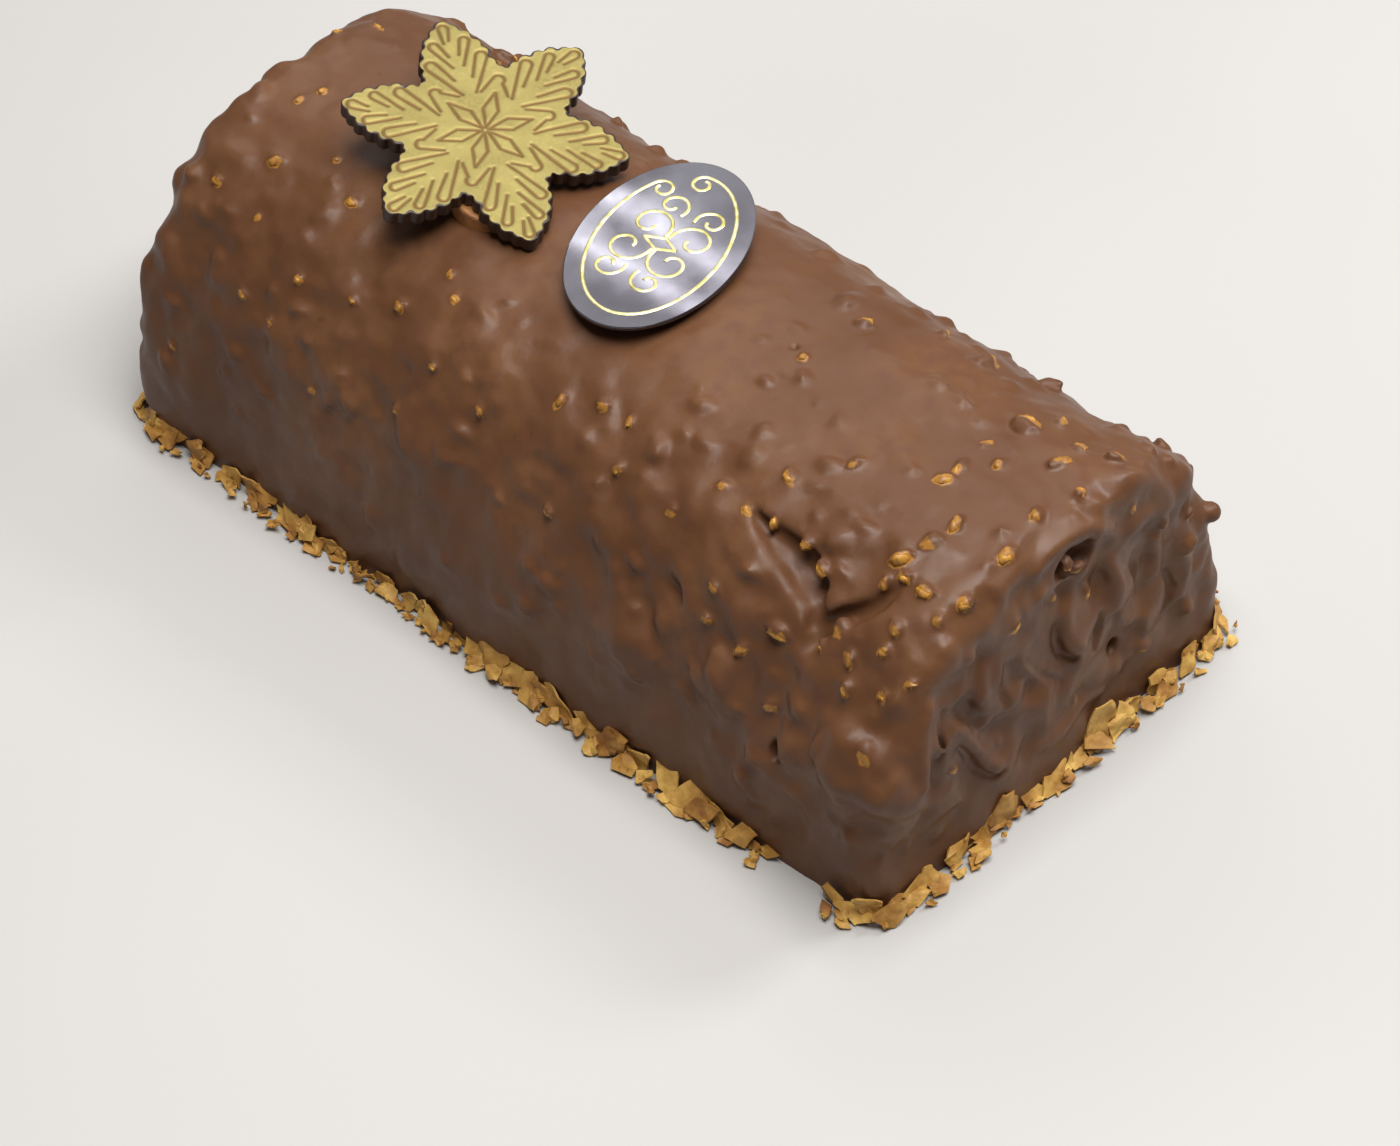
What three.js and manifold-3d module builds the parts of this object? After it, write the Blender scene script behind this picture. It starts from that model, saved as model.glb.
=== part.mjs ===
// Yule log cake: a half-round log under milk chocolate glaze full of chopped nuts, with
// wafer flakes stuck round its foot, a gilded chocolate snowflake and an oval plaque on top.
// Millimetres. +X runs along the log to its front end, -Y is the near side, +Z is up, and
// the origin is the middle of the flat base.

import * as THREE from 'three';
import { mergeVertices } from 'three/addons/utils/BufferGeometryUtils.js';
import Module from 'manifold-3d';

// Driving dimensions of the log
const LOG_LENGTH = 220.6;
const LOG_WIDTH = 110.6;
const LOG_HEIGHT = 71.3;
const HALF_LENGTH = LOG_LENGTH / 2;
const HALF_WIDTH = LOG_WIDTH / 2;
const DOME_POWER = 2.6;
const END_RIM = 6.5;
const END_BULGE = 1.2;
const DOME_STEPS = 28;
const BASE_STEPS = 4;
const RIM_STEPS = 3;
const LENGTH_STEPS = 20;
const CAP_SCALES = [0.84, 0.64, 0.42, 0.2];
const CAP_CENTRE_HEIGHT = 0.42 * LOG_HEIGHT;

// Waves of the poured glaze: height, and lengths along and round the log
const WAVE_HEIGHT = 0.75;
const WAVE_LENGTH_ALONG = 46;
const WAVE_LENGTH_ROUND = 31;
const SAG_HEIGHT = 0.6;
const SAG_PITCH = 23;
const SAG_DRIFT = 9;
const CALM_FOOT_HEIGHT = 12;
const END_RIPPLE_HEIGHT = 0.5;
const END_RIPPLE_WIDTH = 35;
const END_RIPPLE_DROP = 107;

// Chopped nuts under the glaze
const NUT_SEED = 12;
const NUT_COUNT = 166;
const END_NUT_COUNT = 14;
const NUT_RADIUS_SMALL = 1.5;
const NUT_RADIUS_LARGE = 3.1;
const NUT_ROUND_FROM = 2.25;
const NUT_FLATNESS = 0.7;
const NUT_PROUD = 0.5;
const NUT_SPACING = 4.6;
const NUT_LOWEST = 13;
const NUT_BREADTH = [0.6, 0.95];
const NUT_DEPTH = [0.55, 0.8];
const NUT_TILT = 0.7;
const PROUD_NUT_RADIUS = 2.3;
const PROUD_NUT_PLACE = [HALF_LENGTH - 1.5, 48.6, 38.5];

// Wafer flakes at the foot
const FLAKE_SEED = 5;
const FLAKE_PITCH = 8.1;
const FLAKE_WIDTH = [7.0, 11.5];
const FLAKE_HEIGHT = [6.0, 9.5];
const FLAKE_THICKNESS = 1.1;
const FLAKE_CORNERS = [4, 5];
const FLAKE_REACH = [0.8, 1.1];
const FLAKE_TWIST = 0.5;
const FLAKE_LEAN = [0.45, 1.0];
const FLAKE_SINK = 1.3;
const FLAKE_GROUND = 0.25;
const FOOT_CORNER = 7.5;

// Snowflake plaque: six arms, tip to tip twice the arm length
const SNOW_ARMS = 6;
const SNOW_ARM_LENGTH = 30.6;
const SNOW_NOTCH_RADIUS = 17.8;
const SNOW_BASE_THICKNESS = 2.9;
const SNOW_RELIEF = 0.5;
const BARB_STARTS = [11.6, 15.6, 19.4, 23.2];
const BARB_LENGTHS = [8.6, 8.0, 6.4, 4.6];
const BARB_TURN = rad(37);
const BARB_HALF_WIDTH = 0.75;
const BARB_OFFSET = 0.9;
const SNOW_CENTRE = new THREE.Vector3(-50.3, 1.5, 79.3);
const SNOW_TILT = new THREE.Euler(rad(2), rad(12), rad(154.4), 'YXZ');
const SNOW_THICKNESS = SNOW_BASE_THICKNESS + SNOW_RELIEF;

// Round dab of chocolate that holds the snowflake up
const DAB_RADIUS = 10.4;
const DAB_CENTRE = new THREE.Vector3(-40.6, -4.6, 73.8);
const DAB_DEPTH = 14;
const DAB_EDGE = 0.8;
const DAB_STEPS = 24;

// Oval plaque lying across the crest
const OVAL_HALF_LENGTH = 26.6;
const OVAL_HALF_WIDTH = 17.9;
const OVAL_THICKNESS = 0.9;
const OVAL_EDGE = 0.2;
const OVAL_CENTRE = new THREE.Vector3(-2.9, 5.1, 74.0);
const OVAL_TURN = rad(108);
const OVAL_STEPS = 20;

const GAP = 0.35;

const wasm = await Module();
wasm.setup();

function rad(degrees) {
  return THREE.MathUtils.degToRad(degrees);
}

function seededRandom(seed) {
  let state = seed;
  return () => {
    state = (state * 1664525 + 1013904223) % 4294967296;
    return state / 4294967296;
  };
}

function between([low, high], share) {
  return low + (high - low) * share;
}

// Solids and geometries

function toSolid(geometry) {
  const bare = geometry.clone();
  bare.deleteAttribute('normal');
  bare.deleteAttribute('uv');
  const merged = mergeVertices(bare, 1e-4);
  return new wasm.Manifold(new wasm.Mesh({
    numProp: 3,
    vertProperties: merged.attributes.position.array,
    triVerts: new Uint32Array(merged.index.array),
  }));
}

function toGeometry(solid) {
  const mesh = solid.getMesh();
  const geometry = new THREE.BufferGeometry();
  geometry.setAttribute('position', new THREE.BufferAttribute(mesh.vertProperties, 3));
  geometry.setIndex(new THREE.BufferAttribute(mesh.triVerts, 1));
  geometry.computeVertexNormals();
  return geometry;
}

function joinAll(first, geometries) {
  return geometries.reduce((whole, geometry) => whole.add(toSolid(geometry)), first);
}

// The log's surface

function superellipse(angle, halfWidth, height) {
  const across = Math.cos(angle);
  const up = Math.max(Math.sin(angle), 0);
  const y = -halfWidth * Math.sign(across) * Math.abs(across) ** (2 / DOME_POWER);
  return new THREE.Vector2(y, height * up ** (2 / DOME_POWER));
}

function domeNormal(y, z) {
  const slopeY = Math.sign(y) * Math.abs(y / HALF_WIDTH) ** (DOME_POWER - 1) / HALF_WIDTH;
  const slopeZ = (z / LOG_HEIGHT) ** (DOME_POWER - 1) / LOG_HEIGHT;
  return new THREE.Vector2(slopeY, slopeZ).normalize();
}

// The glaze lies in slow waves, and sags in shallow folds down the sides.
function glazeRelief(x, angle) {
  const round = angle * HALF_WIDTH;
  const calmFoot = THREE.MathUtils.smoothstep(LOG_HEIGHT * Math.sin(angle), 0, CALM_FOOT_HEIGHT);
  const side = 1 - Math.sin(angle) ** 6;
  const wave = Math.sin(x / WAVE_LENGTH_ALONG * 2 * Math.PI + Math.sin(round / WAVE_LENGTH_ROUND))
    * Math.cos(round / WAVE_LENGTH_ROUND * 2 * Math.PI + x / WAVE_LENGTH_ALONG);
  const sag = Math.sin((x + SAG_DRIFT * Math.sin(3 * angle)) / SAG_PITCH * 2 * Math.PI);
  return calmFoot * side * (WAVE_HEIGHT * wave + SAG_HEIGHT * sag);
}

function domePoint(x, angle, inset = 0) {
  const flat = superellipse(angle, HALF_WIDTH - inset, LOG_HEIGHT - inset);
  if (flat.y < 0.01) {
    return new THREE.Vector3(x, flat.x, 0);
  }
  const normal = domeNormal(flat.x, flat.y);
  const relief = glazeRelief(x, angle);
  return new THREE.Vector3(x, flat.x + normal.x * relief, flat.y + normal.y * relief);
}

// One closed D-shaped loop: over the dome from the near foot, then back along the base.
function logLoop(x, inset) {
  const loop = [];
  for (let step = 0; step <= DOME_STEPS; step += 1) {
    loop.push(domePoint(x, Math.PI * step / DOME_STEPS, inset));
  }
  for (let step = 1; step < BASE_STEPS; step += 1) {
    const y = (HALF_WIDTH - inset) * (1 - 2 * step / BASE_STEPS);
    loop.push(new THREE.Vector3(x, y, 0));
  }
  return loop;
}

// The glaze on an end has run down in upright ripples over a slight bulge.
function capLoop(rimLoop, scale, endSign) {
  return rimLoop.map((point) => {
    const across = point.y * scale / END_RIPPLE_WIDTH;
    const down = point.z / END_RIPPLE_DROP;
    const furrow = Math.sin(2 * Math.PI * across) * Math.sin(2 * Math.PI * (across + down));
    const ripple = END_RIPPLE_HEIGHT * furrow;
    const bulge = END_BULGE * (1 - scale ** 2);
    const z = CAP_CENTRE_HEIGHT + (point.z - CAP_CENTRE_HEIGHT) * scale;
    return new THREE.Vector3(point.x + endSign * (bulge + ripple), point.y * scale, z);
  });
}

function logStations() {
  const stations = [];
  for (let step = 0; step < RIM_STEPS; step += 1) {
    const turn = Math.PI / 2 * step / RIM_STEPS;
    const back = END_RIM * (1 - Math.sin(turn));
    stations.push({ x: -HALF_LENGTH + END_RIM - END_RIM * Math.cos(turn), inset: back });
  }
  const straight = LOG_LENGTH - 2 * END_RIM;
  for (let step = 0; step <= LENGTH_STEPS; step += 1) {
    stations.push({ x: -straight / 2 + straight * step / LENGTH_STEPS, inset: 0 });
  }
  const front = stations.slice(0, RIM_STEPS).reverse();
  return stations.concat(front.map((station) => ({ x: -station.x, inset: station.inset })));
}

// Loops joined side by side, closed by a fan round a middle point at each end.
function loftLoops(loops, startPoint, endPoint) {
  const count = loops[0].length;
  const positions = loops.flat().concat([startPoint, endPoint]).flatMap((point) => point.toArray());
  const startIndex = loops.length * count;
  const lastLoop = (loops.length - 1) * count;
  const faces = [];
  for (let side = 0; side < count; side += 1) {
    const next = (side + 1) % count;
    for (let row = 0; row < loops.length - 1; row += 1) {
      const here = row * count;
      const ahead = here + count;
      faces.push(here + side, ahead + next, here + next);
      faces.push(here + side, ahead + side, ahead + next);
    }
    faces.push(startIndex, side, next);
    faces.push(startIndex + 1, lastLoop + next, lastLoop + side);
  }
  const geometry = new THREE.BufferGeometry();
  geometry.setAttribute('position', new THREE.Float32BufferAttribute(positions, 3));
  geometry.setIndex(faces);
  return geometry;
}

function bareLog() {
  const body = logStations().map(({ x, inset }) => logLoop(x, inset));
  const rear = CAP_SCALES.map((scale) => capLoop(body[0], scale, -1)).reverse();
  const front = CAP_SCALES.map((scale) => capLoop(body[body.length - 1], scale, 1));
  const reach = HALF_LENGTH + END_BULGE;
  const rearPoint = new THREE.Vector3(-reach, 0, CAP_CENTRE_HEIGHT);
  const frontPoint = new THREE.Vector3(reach, 0, CAP_CENTRE_HEIGHT);
  return loftLoops([...rear, ...body, ...front], rearPoint, frontPoint);
}

// Hollows where the glaze ran off or a bubble broke: place and half sizes
function glazeHollows() {
  const hollows = [
    { at: [HALF_LENGTH + 0.6, 4.1, 59.0], half: [3.6, 3.3, 4.2] },
    { at: [HALF_LENGTH + 1.2, 1.8, 41.0], half: [2.6, 1.9, 5.6] },
    { at: [HALF_LENGTH + 1.0, 18.6, 22.6], half: [2.2, 1.4, 3.0] },
    { at: [HALF_LENGTH + 1.2, -4.5, 32.5], half: [1.9, 4.2, 1.5] },
    { at: [82.0, -HALF_WIDTH + 1.2, 29.0], half: [2.6, 2.8, 3.6] },
  ];
  return hollows.map(({ at, half }) => {
    const ball = new THREE.IcosahedronGeometry(1, 1);
    return ball.scale(...half).translate(...at);
  });
}

// Chopped nuts

// Under the plaques nothing may reach higher than this.
function plaqueCeiling(x, y) {
  const snowNormal = new THREE.Vector3(0, 0, 1).applyEuler(SNOW_TILT);
  const fromSnow = new THREE.Vector2(x - SNOW_CENTRE.x, y - SNOW_CENTRE.y);
  const snowMiddle = SNOW_CENTRE.z
    - (snowNormal.x * fromSnow.x + snowNormal.y * fromSnow.y) / snowNormal.z;
  const snowCeiling = snowMiddle - SNOW_THICKNESS / 2 - GAP;
  const fromDab = Math.hypot(x - DAB_CENTRE.x, y - DAB_CENTRE.y);
  const fromOval = Math.hypot(x - OVAL_CENTRE.x, y - OVAL_CENTRE.y);
  if (fromDab < DAB_RADIUS + NUT_RADIUS_LARGE) {
    return 0;
  }
  if (fromSnow.length() < SNOW_ARM_LENGTH + NUT_RADIUS_LARGE) {
    return snowCeiling - 0.4;
  }
  if (fromOval < OVAL_HALF_LENGTH + NUT_RADIUS_LARGE) {
    return OVAL_CENTRE.z - OVAL_THICKNESS / 2 - GAP;
  }
  return Infinity;
}

// Nuts crowd the front third and the near shoulder, and are few along the crest.
function nutShare(x, angle) {
  const frontness = THREE.MathUtils.smoothstep(x, 15, 85);
  const shoulder = Math.sin(2 * angle) ** 2;
  return 0.28 + 0.5 * frontness + 0.3 * shoulder;
}

function nutGeometry(radius, point, normal, draw) {
  const nut = radius > NUT_ROUND_FROM
    ? new THREE.IcosahedronGeometry(radius, 0)
    : new THREE.OctahedronGeometry(radius, 0);
  nut.scale(1, between(NUT_BREADTH, draw()), between(NUT_DEPTH, draw()));
  const spin = new THREE.Euler(draw() * NUT_TILT, draw() * NUT_TILT, draw() * 2 * Math.PI);
  nut.applyMatrix4(new THREE.Matrix4().makeRotationFromEuler(spin));
  const upright = new THREE.Quaternion().setFromUnitVectors(new THREE.Vector3(0, 0, 1), normal);
  nut.applyQuaternion(upright);
  const reach = radius * NUT_FLATNESS;
  const centre = point.clone().addScaledVector(normal, reach * (2 * NUT_PROUD - 1));
  return nut.translate(centre.x, centre.y, centre.z);
}

function topOf(geometry) {
  geometry.computeBoundingBox();
  return geometry.boundingBox.max.z;
}

function isFree(point, placed) {
  return placed.every((other) => other.distanceTo(point) > NUT_SPACING);
}

function sideNuts(draw) {
  const placed = [];
  const nuts = [];
  while (nuts.length < NUT_COUNT) {
    const x = (draw() - 0.5) * (LOG_LENGTH - END_RIM);
    const angle = Math.PI * between([0.06, 0.94], draw());
    const radius = between([NUT_RADIUS_SMALL, NUT_RADIUS_LARGE], draw() ** 1.6);
    const wanted = draw() < nutShare(x, angle);
    const point = domePoint(x, angle);
    if (!wanted || point.z < NUT_LOWEST || !isFree(point, placed)) {
      continue;
    }
    const flatNormal = domeNormal(point.y, point.z);
    const normal = new THREE.Vector3(0, flatNormal.x, flatNormal.y);
    const nut = nutGeometry(radius, point, normal, draw);
    if (topOf(nut) < plaqueCeiling(point.x, point.y)) {
      placed.push(point);
      nuts.push(nut);
    }
  }
  return nuts;
}

function endNuts(draw, endSign) {
  const placed = [];
  const nuts = [];
  const normal = new THREE.Vector3(endSign, 0, 0);
  while (nuts.length < END_NUT_COUNT) {
    const angle = Math.PI * draw();
    const edge = superellipse(angle, HALF_WIDTH, LOG_HEIGHT);
    const share = between([0.35, 0.9], Math.sqrt(draw()));
    const point = new THREE.Vector3(endSign * HALF_LENGTH, edge.x * share, edge.y * share);
    if (point.z < NUT_LOWEST || !isFree(point, placed)) {
      continue;
    }
    const radius = between([NUT_RADIUS_SMALL, NUT_RADIUS_LARGE], draw() ** 2);
    placed.push(point);
    nuts.push(nutGeometry(radius, point, normal, draw));
  }
  return nuts;
}

// The one round coated nut that stands out at the far front shoulder
function proudNut() {
  const nut = new THREE.IcosahedronGeometry(PROUD_NUT_RADIUS, 1);
  return nut.translate(...PROUD_NUT_PLACE);
}

// Wafer flakes at the foot

function footOutline() {
  const outline = new THREE.Path();
  const x = HALF_LENGTH;
  const y = HALF_WIDTH;
  const corner = FOOT_CORNER;
  outline.moveTo(-x + corner, -y);
  outline.lineTo(x - corner, -y);
  outline.absarc(x - corner, -y + corner, corner, -Math.PI / 2, 0, false);
  outline.lineTo(x, y - corner);
  outline.absarc(x - corner, y - corner, corner, 0, Math.PI / 2, false);
  outline.lineTo(-x + corner, y);
  outline.absarc(-x + corner, y - corner, corner, Math.PI / 2, Math.PI, false);
  outline.lineTo(-x, -y + corner);
  outline.absarc(-x + corner, -y + corner, corner, Math.PI, 1.5 * Math.PI, false);
  return outline;
}

function flakeShape(draw) {
  const width = between(FLAKE_WIDTH, draw()) / 2;
  const height = between(FLAKE_HEIGHT, draw()) / 2;
  const cornerCount = Math.round(between(FLAKE_CORNERS, draw()));
  const corners = [];
  for (let corner = 0; corner < cornerCount; corner += 1) {
    const angle = 2 * Math.PI * (corner + 0.6 * (draw() - 0.5)) / cornerCount;
    const reach = between(FLAKE_REACH, draw());
    corners.push(new THREE.Vector2(width * reach * Math.cos(angle), height * reach * Math.sin(angle)));
  }
  return new THREE.Shape(corners);
}

// A flake stands on edge and leans its top against the log's foot.
function flakeGeometry(place, along, draw) {
  const flake = new THREE.ExtrudeGeometry(flakeShape(draw), { depth: FLAKE_THICKNESS, bevelEnabled: false });
  flake.rotateX(Math.PI / 2);
  flake.rotateZ(FLAKE_TWIST * (draw() - 0.5));
  flake.rotateX(between(FLAKE_LEAN, draw()));
  flake.computeBoundingBox();
  const { min, max } = flake.boundingBox;
  flake.translate(0, -max.y + FLAKE_SINK, -min.z + FLAKE_GROUND * (1 + draw()));
  flake.rotateZ(Math.atan2(along.y, along.x));
  return flake.translate(place.x, place.y, 0);
}

function footFlakes() {
  const draw = seededRandom(FLAKE_SEED);
  const outline = footOutline();
  const count = Math.round(outline.getLength() / FLAKE_PITCH);
  const flakes = [];
  for (let index = 0; index < count; index += 1) {
    const share = (index + 0.5 * draw()) / count;
    flakes.push(flakeGeometry(outline.getPointAt(share), outline.getTangentAt(share), draw));
  }
  return flakes;
}

function glazedLog() {
  const draw = seededRandom(NUT_SEED);
  const hollowed = glazeHollows().reduce(
    (whole, hollow) => whole.subtract(toSolid(hollow)),
    toSolid(bareLog()),
  );
  const toppings = [...sideNuts(draw), ...endNuts(draw, 1), ...endNuts(draw, -1), proudNut()];
  return joinAll(hollowed, [...toppings, ...footFlakes()]);
}

// Snowflake

// Half width of an arm, swelling to a rounded lobe at the end of each barb
const ARM_HALF_OUTLINE = [
  [17.6, 7.7], [19.6, 7.9], [21.0, 6.6], [23.6, 6.6], [24.9, 5.0], [26.8, 4.6], [27.8, 3.0], [29.6, 2.2],
];

function snowOutline() {
  const points = [];
  const half = ARM_HALF_OUTLINE.map(([along, across]) => new THREE.Vector2(along, across));
  const tip = new THREE.Vector2(SNOW_ARM_LENGTH, 0);
  const lower = half.map((point) => new THREE.Vector2(point.x, -point.y));
  const arm = [...lower, tip, ...half.reverse()];
  for (let index = 0; index < SNOW_ARMS; index += 1) {
    const turn = index * 2 * Math.PI / SNOW_ARMS;
    const notchTurn = turn - Math.PI / SNOW_ARMS;
    points.push(new THREE.Vector2(SNOW_NOTCH_RADIUS, 0).rotateAround(new THREE.Vector2(), notchTurn));
    arm.forEach((point) => points.push(point.clone().rotateAround(new THREE.Vector2(), turn)));
  }
  return new THREE.Shape(points);
}

// A raised bar with pointed ends, from one radius to another beside the arm's middle line
function reliefBar(startAlong, startAcross, endAlong, endAcross, halfWidth) {
  const start = new THREE.Vector2(startAlong, startAcross);
  const end = new THREE.Vector2(endAlong, endAcross);
  const direction = end.clone().sub(start).normalize();
  const sideways = new THREE.Vector2(-direction.y, direction.x).multiplyScalar(halfWidth);
  const inset = direction.clone().multiplyScalar(halfWidth);
  const shape = new THREE.Shape([
    start,
    start.clone().add(inset).sub(sideways),
    end.clone().sub(inset).sub(sideways),
    end,
    end.clone().sub(inset).add(sideways),
    start.clone().add(inset).add(sideways),
  ]);
  return new THREE.ExtrudeGeometry(shape, { depth: 2 * SNOW_RELIEF, bevelEnabled: false });
}

function petal(inner, outer, halfWidth) {
  const middle = inner + (outer - inner) * 0.55;
  const shape = new THREE.Shape([
    new THREE.Vector2(inner, 0),
    new THREE.Vector2(middle, -halfWidth),
    new THREE.Vector2(outer, 0),
    new THREE.Vector2(middle, halfWidth),
  ]);
  return new THREE.ExtrudeGeometry(shape, { depth: 2 * SNOW_RELIEF, bevelEnabled: false });
}

function snowRelief() {
  const bars = [petal(1.2, 9.8, 2.1), reliefBar(25.6, 0, 29.8, 0, BARB_HALF_WIDTH)];
  BARB_STARTS.forEach((start, index) => {
    const endAlong = start + BARB_LENGTHS[index] * Math.cos(BARB_TURN);
    const endAcross = BARB_OFFSET + BARB_LENGTHS[index] * Math.sin(BARB_TURN);
    bars.push(reliefBar(start, BARB_OFFSET, endAlong, endAcross, BARB_HALF_WIDTH));
    bars.push(reliefBar(start, -BARB_OFFSET, endAlong, -endAcross, BARB_HALF_WIDTH));
  });
  const relief = [];
  for (let index = 0; index < SNOW_ARMS; index += 1) {
    const turn = index * 2 * Math.PI / SNOW_ARMS;
    bars.forEach((bar) => relief.push(bar.clone().rotateZ(turn)));
  }
  return relief.map((bar) => bar.translate(0, 0, SNOW_BASE_THICKNESS - SNOW_RELIEF));
}

function snowflake() {
  const plate = new THREE.ExtrudeGeometry(
    snowOutline(),
    { depth: SNOW_BASE_THICKNESS, bevelEnabled: false },
  );
  const solid = joinAll(toSolid(plate), snowRelief());
  return toGeometry(solid).translate(0, 0, -SNOW_THICKNESS / 2);
}

// Dab under the snowflake, trimmed clear of the plaque above and the glaze below

function dab(logSolid) {
  const half = DAB_DEPTH / 2;
  const profile = [
    new THREE.Vector2(0, -half),
    new THREE.Vector2(DAB_RADIUS - DAB_EDGE, -half),
    new THREE.Vector2(DAB_RADIUS, 0),
    new THREE.Vector2(DAB_RADIUS - DAB_EDGE, half),
    new THREE.Vector2(0, half),
  ];
  const disc = new THREE.LatheGeometry(profile, DAB_STEPS).rotateX(Math.PI / 2);
  disc.translate(DAB_CENTRE.x, DAB_CENTRE.y, DAB_CENTRE.z);
  const under = new THREE.BoxGeometry(120, 120, 40).translate(0, 0, -20 - SNOW_THICKNESS / 2 - GAP);
  under.applyMatrix4(new THREE.Matrix4().makeRotationFromEuler(SNOW_TILT));
  under.translate(SNOW_CENTRE.x, SNOW_CENTRE.y, SNOW_CENTRE.z);
  const lifted = toSolid(toGeometry(logSolid).translate(0, 0, GAP));
  return toGeometry(toSolid(disc).intersect(toSolid(under)).subtract(lifted));
}

function ovalPlaque() {
  const outline = new THREE.Shape();
  outline.absellipse(0, 0, OVAL_HALF_LENGTH - OVAL_EDGE, OVAL_HALF_WIDTH - OVAL_EDGE, 0, 2 * Math.PI);
  const plate = new THREE.ExtrudeGeometry(outline, {
    curveSegments: OVAL_STEPS,
    depth: OVAL_THICKNESS - 2 * OVAL_EDGE,
    bevelThickness: OVAL_EDGE,
    bevelSize: OVAL_EDGE,
    bevelSegments: 1,
  });
  return toGeometry(toSolid(plate)).translate(0, 0, -OVAL_THICKNESS / 2 + OVAL_EDGE);
}

// The whole cake

function namedMesh(name, geometry, color, roughness, metalness) {
  const material = new THREE.MeshStandardMaterial({ color, roughness, metalness });
  const mesh = new THREE.Mesh(geometry, material);
  mesh.name = name;
  return mesh;
}

function buildCake() {
  const cake = new THREE.Group();
  const logSolid = glazedLog();
  const log = namedMesh('log_cake', toGeometry(logSolid), 0x6f4c38, 0.45, 0);
  const holder = namedMesh('plaque_dab', dab(logSolid), 0x8a5a38, 0.5, 0);
  const snow = namedMesh('snowflake_plaque', snowflake(), 0xbeb16f, 0.45, 0.5);
  snow.position.copy(SNOW_CENTRE);
  snow.rotation.copy(SNOW_TILT);
  const oval = namedMesh('oval_plaque', ovalPlaque(), 0x9a9799, 0.2, 0.4);
  oval.position.copy(OVAL_CENTRE);
  oval.rotation.z = OVAL_TURN;
  cake.add(log, holder, snow, oval);
  return cake;
}

export default buildCake();
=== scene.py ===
import math

import bpy
from mathutils import Euler, Matrix, Vector
from mathutils.bvhtree import BVHTree
from mathutils.kdtree import KDTree


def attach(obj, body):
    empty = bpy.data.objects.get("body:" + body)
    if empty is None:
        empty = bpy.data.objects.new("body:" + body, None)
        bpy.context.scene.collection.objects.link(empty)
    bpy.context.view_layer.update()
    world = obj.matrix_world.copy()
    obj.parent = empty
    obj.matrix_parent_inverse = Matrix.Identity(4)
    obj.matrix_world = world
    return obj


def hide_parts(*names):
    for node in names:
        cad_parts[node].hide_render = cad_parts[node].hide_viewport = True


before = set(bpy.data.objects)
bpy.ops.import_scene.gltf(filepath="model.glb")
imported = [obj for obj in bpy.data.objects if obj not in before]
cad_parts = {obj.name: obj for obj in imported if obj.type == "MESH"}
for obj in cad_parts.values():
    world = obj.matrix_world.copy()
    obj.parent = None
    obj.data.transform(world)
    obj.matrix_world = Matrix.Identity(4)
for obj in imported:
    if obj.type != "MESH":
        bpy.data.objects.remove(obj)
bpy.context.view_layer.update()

MM = 0.001

# The log's form, in mm; its dome is an arch that is squarer the higher its power
LOG_LENGTH = 220.6
LOG_WIDTH = 110.6
LOG_HEIGHT = 71.3
HALF_LENGTH = LOG_LENGTH / 2
HALF_WIDTH = LOG_WIDTH / 2
DOME_POWER = 2.6
DOME_PROFILE = 0.5 ** (2 / DOME_POWER)
DOME_SEGMENTS = 48
DOME_REACH = 0.998
END_RIM = 6.5
BASE_SPARE = 3.0

# The squares that the glaze is remeshed in, stage by stage, in mm, and the triangles it keeps
FIRST_VOXEL = 1.2
MIDDLE_VOXEL = 0.9
FINE_VOXEL = 0.62
GLAZE_TRIANGLES = 186000

# Snowflake and its dab, in mm; it is spun flat, then tipped about x and about y, in degrees
SNOW_CENTRE = (-50.3, 1.5, 79.3)
SNOW_SPIN = 154.4
SNOW_TIP_X = 2
SNOW_TIP_Y = 12
SNOW_ARMS = 6
SNOW_HALF_THICKNESS = 1.7
DAB_RADIUS = 10.4
DAB_CENTRE = (-40.6, -4.6, 73.8)
DAB_DEPTH = 14
DAB_FOOT = 69.6
DAB_VOXEL = 0.35
SNOW_GAP = 0.15

# Oval tag, in mm
TAG_CENTRE = (-2.9, 5.1, 74.0)
TAG_TURN = math.radians(108)
TAG_HALF_LENGTH = 26.6
TAG_HALF_WIDTH = 17.9
TAG_THICKNESS = 0.9


def seeded_random(seed):
    """A function that draws the numbers of a fixed series, from 0 to 1."""
    state = seed

    def draw():
        nonlocal state
        state = (state * 1664525 + 1013904223) % 4294967296
        return state / 4294967296

    return draw


def between(low, high, share):
    return low + (high - low) * share


def smooth_step(value, low, high):
    """0 up to low, 1 from high on, with a soft rise between."""
    share = min(max((value - low) / (high - low), 0), 1)
    return share * share * (3 - 2 * share)


# Working on one piece at a time

def only(piece):
    """Selects this piece alone and makes it the active one."""
    bpy.ops.object.select_all(action="DESELECT")
    piece.select_set(True)
    bpy.context.view_layer.objects.active = piece
    return piece


def added(name):
    """Names the piece that an operator has just added."""
    piece = bpy.context.active_object
    piece.name = name
    return only(piece)


def place_in_mesh(piece):
    only(piece)
    bpy.ops.object.transform_apply(location=True, rotation=True, scale=True)
    return piece


def edit_chosen(piece, kind, wanted):
    """Leaves the piece in edit mode with the wanted vertices or edges selected."""
    only(piece)
    bpy.ops.object.mode_set(mode="EDIT")
    bpy.ops.mesh.select_mode(type=kind)
    bpy.ops.mesh.select_all(action="DESELECT")
    bpy.ops.object.mode_set(mode="OBJECT")
    parts = {"VERT": piece.data.vertices, "EDGE": piece.data.edges}
    for part in parts[kind]:
        part.select = wanted(part)
    bpy.ops.object.mode_set(mode="EDIT")


def edit_all(piece):
    edit_chosen(piece, "VERT", lambda part: True)


def leave_edit():
    bpy.ops.object.mode_set(mode="OBJECT")


def cut_flat(place, direction, **settings):
    """Cuts all of the piece in edit mode along a plane; settings say which side goes."""
    bpy.ops.mesh.select_all(action="SELECT")
    bpy.ops.mesh.bisect(plane_co=place, plane_no=direction, **settings)


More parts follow.
